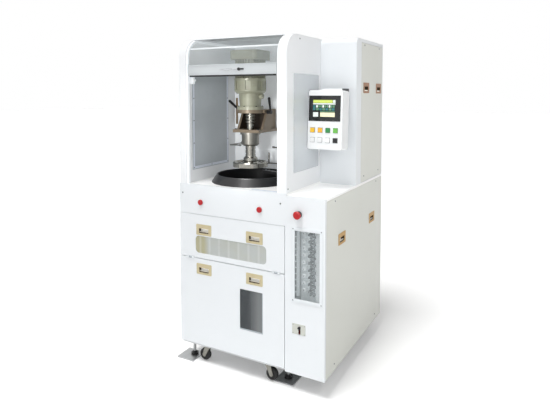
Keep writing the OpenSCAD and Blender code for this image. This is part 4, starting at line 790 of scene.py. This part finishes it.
def turned(bm, profile, matrix, sides=24, material=0):
    """Solid turned from (radius, height) points in millimetres, its ends on the axis."""
    rings = []
    for radius, height in profile:
        if radius == 0:
            rings.append([bm.verts.new(matrix @ Vector((0, 0, height * MM)))])
            continue
        rings.append([bm.verts.new(matrix @ Vector((
            radius * MM * math.cos(2 * math.pi * k / sides),
            radius * MM * math.sin(2 * math.pi * k / sides), height * MM))) for k in range(sides)])
    for low, high in zip(rings, rings[1:]):
        for k in range(sides):
            j = (k + 1) % sides
            corners = [low[k % len(low)], low[j % len(low)],
                       high[j % len(high)], high[k % len(high)]]
            corners = [c for i, c in enumerate(corners) if c not in corners[:i]]
            if len(corners) > 2:
                bm.faces.new(corners).material_index = material


def rod(bm, radius, length, place, axis, sides, material):
    """Plain round rod that starts at a place on the machine."""
    turned(bm, [(0, 0), (radius, 0), (radius, length), (0, length)],
           facing(at(*place), axis), sides, material)


def screw(bm, place, axis, radius=4.2, height=1.9, sides=20):
    """Button-head screw with a hexagon socket in the material after its own; where that one is
    darker, it is painted shade in the socket.
    """
    sunk = -0.6
    matrix = facing(at(*place), axis)
    turned(bm, [(0, sunk), (radius, sunk), (radius, height * 0.35),
                (radius * 0.86, height * 0.8), (radius * 0.62, height),
                (radius * 0.5, height)], matrix, sides, 0)
    turned(bm, [(radius * 0.5, height), (radius * 0.46, height * 0.35), (0, height * 0.35)],
           matrix, sides, 1)


def slab(bm, lo, hi, edge=0.0, material=0, matrix=None):
    """Box between two corners in machine millimetres, its edges rounded by edge."""
    lo, hi = at(*lo), at(*hi)
    made = bmesh.ops.create_cube(bm, size=1.0)["verts"]
    size, mid = hi - lo, (hi + lo) / 2
    for v in made:
        v.co = Vector((v.co.x * size.x, v.co.y * size.y, v.co.z * size.z)) + mid
    faces = {f for v in made for f in v.link_faces}
    if edge:
        edges = list({e for v in made for e in v.link_edges})
        rounded = bmesh.ops.bevel(bm, geom=edges, offset=edge * MM, segments=2,
                                  affect="EDGES", clamp_overlap=True)
        faces = ({f for v in rounded["verts"] for f in v.link_faces}
                 | {f for f in faces if f.is_valid})
    for f in faces:
        f.material_index = material
    if matrix is not None:
        verts = {v for f in faces for v in f.verts}
        bmesh.ops.transform(bm, matrix=matrix, verts=list(verts))


# ---- Screws ----

# The steel screws' sockets take the dark finish as painted shade.
SCREW_FINISH = ["screw steel", "screw dark"]
COVER_YS, COVER_ZS = (124, 788), (136, 971)
TOWER_YS, TOWER_ZS = (558, 828), (1036, 1780)
WALL_ENDS = ((20, 1029), (153, 1790))
LEFT_WALL_IN, RIGHT_WALL_IN, RIGHT_WALL_OUT = 47, 622, 669

cover_screws = [((x, 0, 957), FRONT) for x in (20, 637)]
cover_screws += [((CABINET_W, y, z), RIGHT) for z in reversed(COVER_ZS) for y in COVER_YS]
cover_screws += [((CABINET_W, y, z), RIGHT) for z in TOWER_ZS for y in TOWER_YS]
cover_screws += [((0, y, z), LEFT) for y in (117, 788) for z in COVER_ZS]
cover_screws += [((x, CABINET_D, z), BACK) for x in (60, 821) for z in (125, 965, 1072, 1742)]
cover_screws += [((RIGHT_WALL_OUT, y, z), RIGHT) for y, z in WALL_ENDS]
cover_screws += [((0, y, z), LEFT) for y, z in WALL_ENDS]
bm = bmesh.new()
for place, axis in cover_screws:
    screw(bm, place, axis)
piece_from(bm, "panel_screws", "root", SCREW_FINISH)

WINDOW_SCREW_YS, WINDOW_SCREW_ZS = (69, 407), (1089, 1228, 1355, 1480, 1622)
STRIP_T = 1.5
bm = bmesh.new()
window_screws = [(y, z) for y in WINDOW_SCREW_YS for z in WINDOW_SCREW_ZS]
window_screws += [(238, WINDOW_SCREW_ZS[0]), (238, WINDOW_SCREW_ZS[-1])]
for y, z in window_screws:
    screw(bm, (LEFT_WALL_IN + STRIP_T, y, z), RIGHT, radius=3.6, height=1.6)
    screw(bm, (RIGHT_WALL_IN, y, z), LEFT, radius=3.6, height=1.6)
piece_from(bm, "window_screws", "root", SCREW_FINISH)

bm = bmesh.new()
for x in (709, 862):
    for z in (480, 840):
        screw(bm, (x, -3, z), FRONT, radius=3, height=1.2)
for z in (314, 356):
    for x in (710, 772):
        screw(bm, (x, -2, z), FRONT, radius=2, height=0.8, sides=14)
piece_from(bm, "trim_screws", "root", SCREW_FINISH)


# ---- Strips round the left-hand sheet ----

WINDOW_Y, WINDOW_Z, STRIP_W = (76, 400), (1096, 1615), 14


def strip(bm, y, z):
    slab(bm, (LEFT_WALL_IN, y[0], z[0]), (LEFT_WALL_IN + STRIP_T, y[1], z[1]), 0.4)


bm = bmesh.new()
(y0, y1), (z0, z1) = WINDOW_Y, WINDOW_Z
strip(bm, (y0 - STRIP_W, y0), (z0 - STRIP_W, z1 + STRIP_W))
strip(bm, (y1, y1 + STRIP_W), (z0 - STRIP_W, z1 + STRIP_W))
strip(bm, WINDOW_Y, (z0 - STRIP_W, z0))
strip(bm, WINDOW_Y, (z1, z1 + STRIP_W))
piece_from(bm, "sheet_strips", "root", ["sheet strip painted light"])


# ---- Fittings and stiff hose ends in front of the valves ----

VALVES, VALVE_FOOT, VALVE_PITCH, VALVE_Y = 9, 498, 36, 80
CLIPS, CLIP_FOOT, CLIP_PITCH, CLIP_H = 11, 492, 31, 25
KNOB = [(0, 0), (11, 0), (11, 22), (9, 26), (0, 26)]
PLUG = [(0, 0), (8, 0), (8, 32), (5.5, 40), (0, 40)]
GREY, DARK, PALE = 0, 1, 2

bm = bmesh.new()
for n in range(VALVES):
    z = VALVE_FOOT + (n + 0.5) * VALVE_PITCH
    turned(bm, KNOB, facing(at(742, VALVE_Y, z), FRONT), 18, PALE)
    rod(bm, 2.6, 27, (742, VALVE_Y, z), FRONT, 10, DARK)
    turned(bm, PLUG, facing(at(776, VALVE_Y, z), FRONT), 14, DARK)
    rod(bm, 5.4, 66, (772, 46, z), (1, -0.2, -0.12), 12, DARK)
    rod(bm, 6, 28, (780, VALVE_Y, z - 17), FRONT, 12, GREY)
    rod(bm, 3.4, 52, (780, 56, z - 17), (1, -0.1, 0.4), 12, GREY)
for x, y, tone in ((806, 38, GREY), (832, 28, DARK)):
    rod(bm, 4, 322, (x, y, 499), UP, 12, tone)
slab(bm, (664, 76, 470), (706, 82, 836), 0.4, PALE)
for n in range(CLIPS):
    z = CLIP_FOOT + n * CLIP_PITCH
    slab(bm, (717.5, 5.2, z), (723.5, 8, z + CLIP_H), 0.4, DARK)
piece_from(bm, "valve_hoses", "root",
           ["fitting grey", "soft black", "valve plastic painted light"])


# ---- Flush sheet of the right-hand wall, pale fill painted over the shade of the front's seam, and the back wall ----

bm = bmesh.new()
slab(bm, (667.6, 81.2, 1100.4), (668.8, 394.8, 1610.8))
piece_from(bm, "outer_sheet", "root", ["outer sheet"])

FASCIA_SEAM = 845
# A pale strip in the fascia's seam is painted light over the gap's shade.
bm = bmesh.new()
seam_gap = FASCIA_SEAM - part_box("upper_panel")[1].z / MM
slab(bm, (3, 1.2, FASCIA_SEAM - 0.4), (657, 4, FASCIA_SEAM + seam_gap + 0.2))
piece_from(bm, "seam_fill_painted_light", "root", ["trim enamel"])

PEEP_X, PEEP_Z, BEAD_Y = (394.3, 533.7), (260.3, 477.7), (0.3, 1.9)
SILL_TOP, JAMB_X = 267, 529
bm = bmesh.new()
slab(bm, (PEEP_X[0], BEAD_Y[0], PEEP_Z[0]), (PEEP_X[1], BEAD_Y[1], SILL_TOP), 0.3)
slab(bm, (JAMB_X, BEAD_Y[0], SILL_TOP), (PEEP_X[1], BEAD_Y[1], PEEP_Z[1]), 0.3)
piece_from(bm, "peep_beads", "lower_door", ["column paint"])

bm = bmesh.new()
slab(bm, (52, 495.5, 1315), (66, 499.5, 1480), 0.8)
piece_from(bm, "back_strip", "root", ["strip brown"])


# ---- Display and key frames ----

BOX_AT = (672, 240, 1212)
BOX_TILT = math.radians(-3.6)
box_lean = (Matrix.Translation(at(*BOX_AT)) @ Matrix.Rotation(BOX_TILT, 4, "X")
            @ Matrix.Translation(-at(*BOX_AT)))


def on_box(x, y, z):
    """Place on the control box, before it leans back, in machine millimetres."""
    return (BOX_AT[0] + x, BOX_AT[1] + y, BOX_AT[2] + z)


# Left, bottom, right and top of each tile on the box, and its finish in this list.
TILE_FINISH = ["tile pale", "tile lime", "tile green", "tile teal", "screen glass", "tile cream"]
MINT, LIME, GREEN, TEAL, GLASS, CREAM = range(6)
TILES = [(28, 247, 139, 262, LIME), (141, 247, 155, 262, MINT), (28, 238, 155, 245, MINT),
         (28, 207, 42, 235, TEAL), (29, 173, 59, 197, MINT), (70, 173, 153, 196, CREAM),
         (70, 199, 153, 203, GREEN)]
TILES += [(46 + 12 * n, 222, 55 + 12 * n, 235, GREEN if n % 3 else MINT) for n in range(9)]
TILES += [(46 + 18 * n, 207, 61 + 18 * n, 219, TEAL if n % 2 else GREEN) for n in range(6)]
bm = bmesh.new()
slab(bm, on_box(26, -1.5, 171), on_box(157, -1.02, 263), 0, GLASS, box_lean)
for x0, z0, x1, z1, tint in TILES:
    slab(bm, on_box(x0, -1.75, z0), on_box(x1, -1.3, z1), 0.15, tint, box_lean)
piece_from(bm, "screen_picture", "root", TILE_FINISH)

KEY_XS, KEY_ZS, KEY_W = (28, 72, 116, 159), (102, 50), 24
RIM_IN, RIM_OUT = KEY_W / 2 + 0.2, KEY_W / 2 + 1.5
RIM_BARS = (((-RIM_OUT, -RIM_OUT), (RIM_OUT, -RIM_IN)), ((-RIM_OUT, RIM_IN), (RIM_OUT, RIM_OUT)),
            ((-RIM_OUT, -RIM_IN), (-RIM_IN, RIM_IN)), ((RIM_IN, -RIM_IN), (RIM_OUT, RIM_IN)))
bm = bmesh.new()
for x in KEY_XS:
    for z in KEY_ZS:
        for lo, hi in RIM_BARS:
            slab(bm, on_box(x + lo[0], -1.6, z + lo[1]), on_box(x + hi[0], 0.3, z + hi[1]),
                 0.3, 0, box_lean)
piece_from(bm, "key_frames", "root", ["key rim"])


# ---- Bolts and coupling rings of the polishing head ----

FLANGE_BOLTS, FLANGE_BOLT_R, FLANGE_TOP, BASE_TOP = 6, 69, 1433, 1300
bm = bmesh.new()
for k in range(FLANGE_BOLTS):
    angle = math.radians(30 + 360 / FLANGE_BOLTS * k)
    screw(bm, (HEAD_X + FLANGE_BOLT_R * math.cos(angle),
               HEAD_Y + FLANGE_BOLT_R * math.sin(angle), FLANGE_TOP), UP, radius=4.6, height=4.5)
for x in (203, 352):
    for y in (262, 330):
        screw(bm, (x, y, BASE_TOP), UP, radius=6, height=6)
piece_from(bm, "bracket_bolts", "head", ["screw dark", "screw dark"])

RING_PROFILE = [(0, 0), (25.5, 0), (27, 1.5), (27, 10.5), (25.5, 12), (0, 12)]
bm = bmesh.new()
for z in (1338, 1356, 1374):
    turned(bm, RING_PROFILE, facing(at(HEAD_X, HEAD_Y, z), UP), 36)
piece_from(bm, "coupling_rings", "spindle", ["housing steel"])
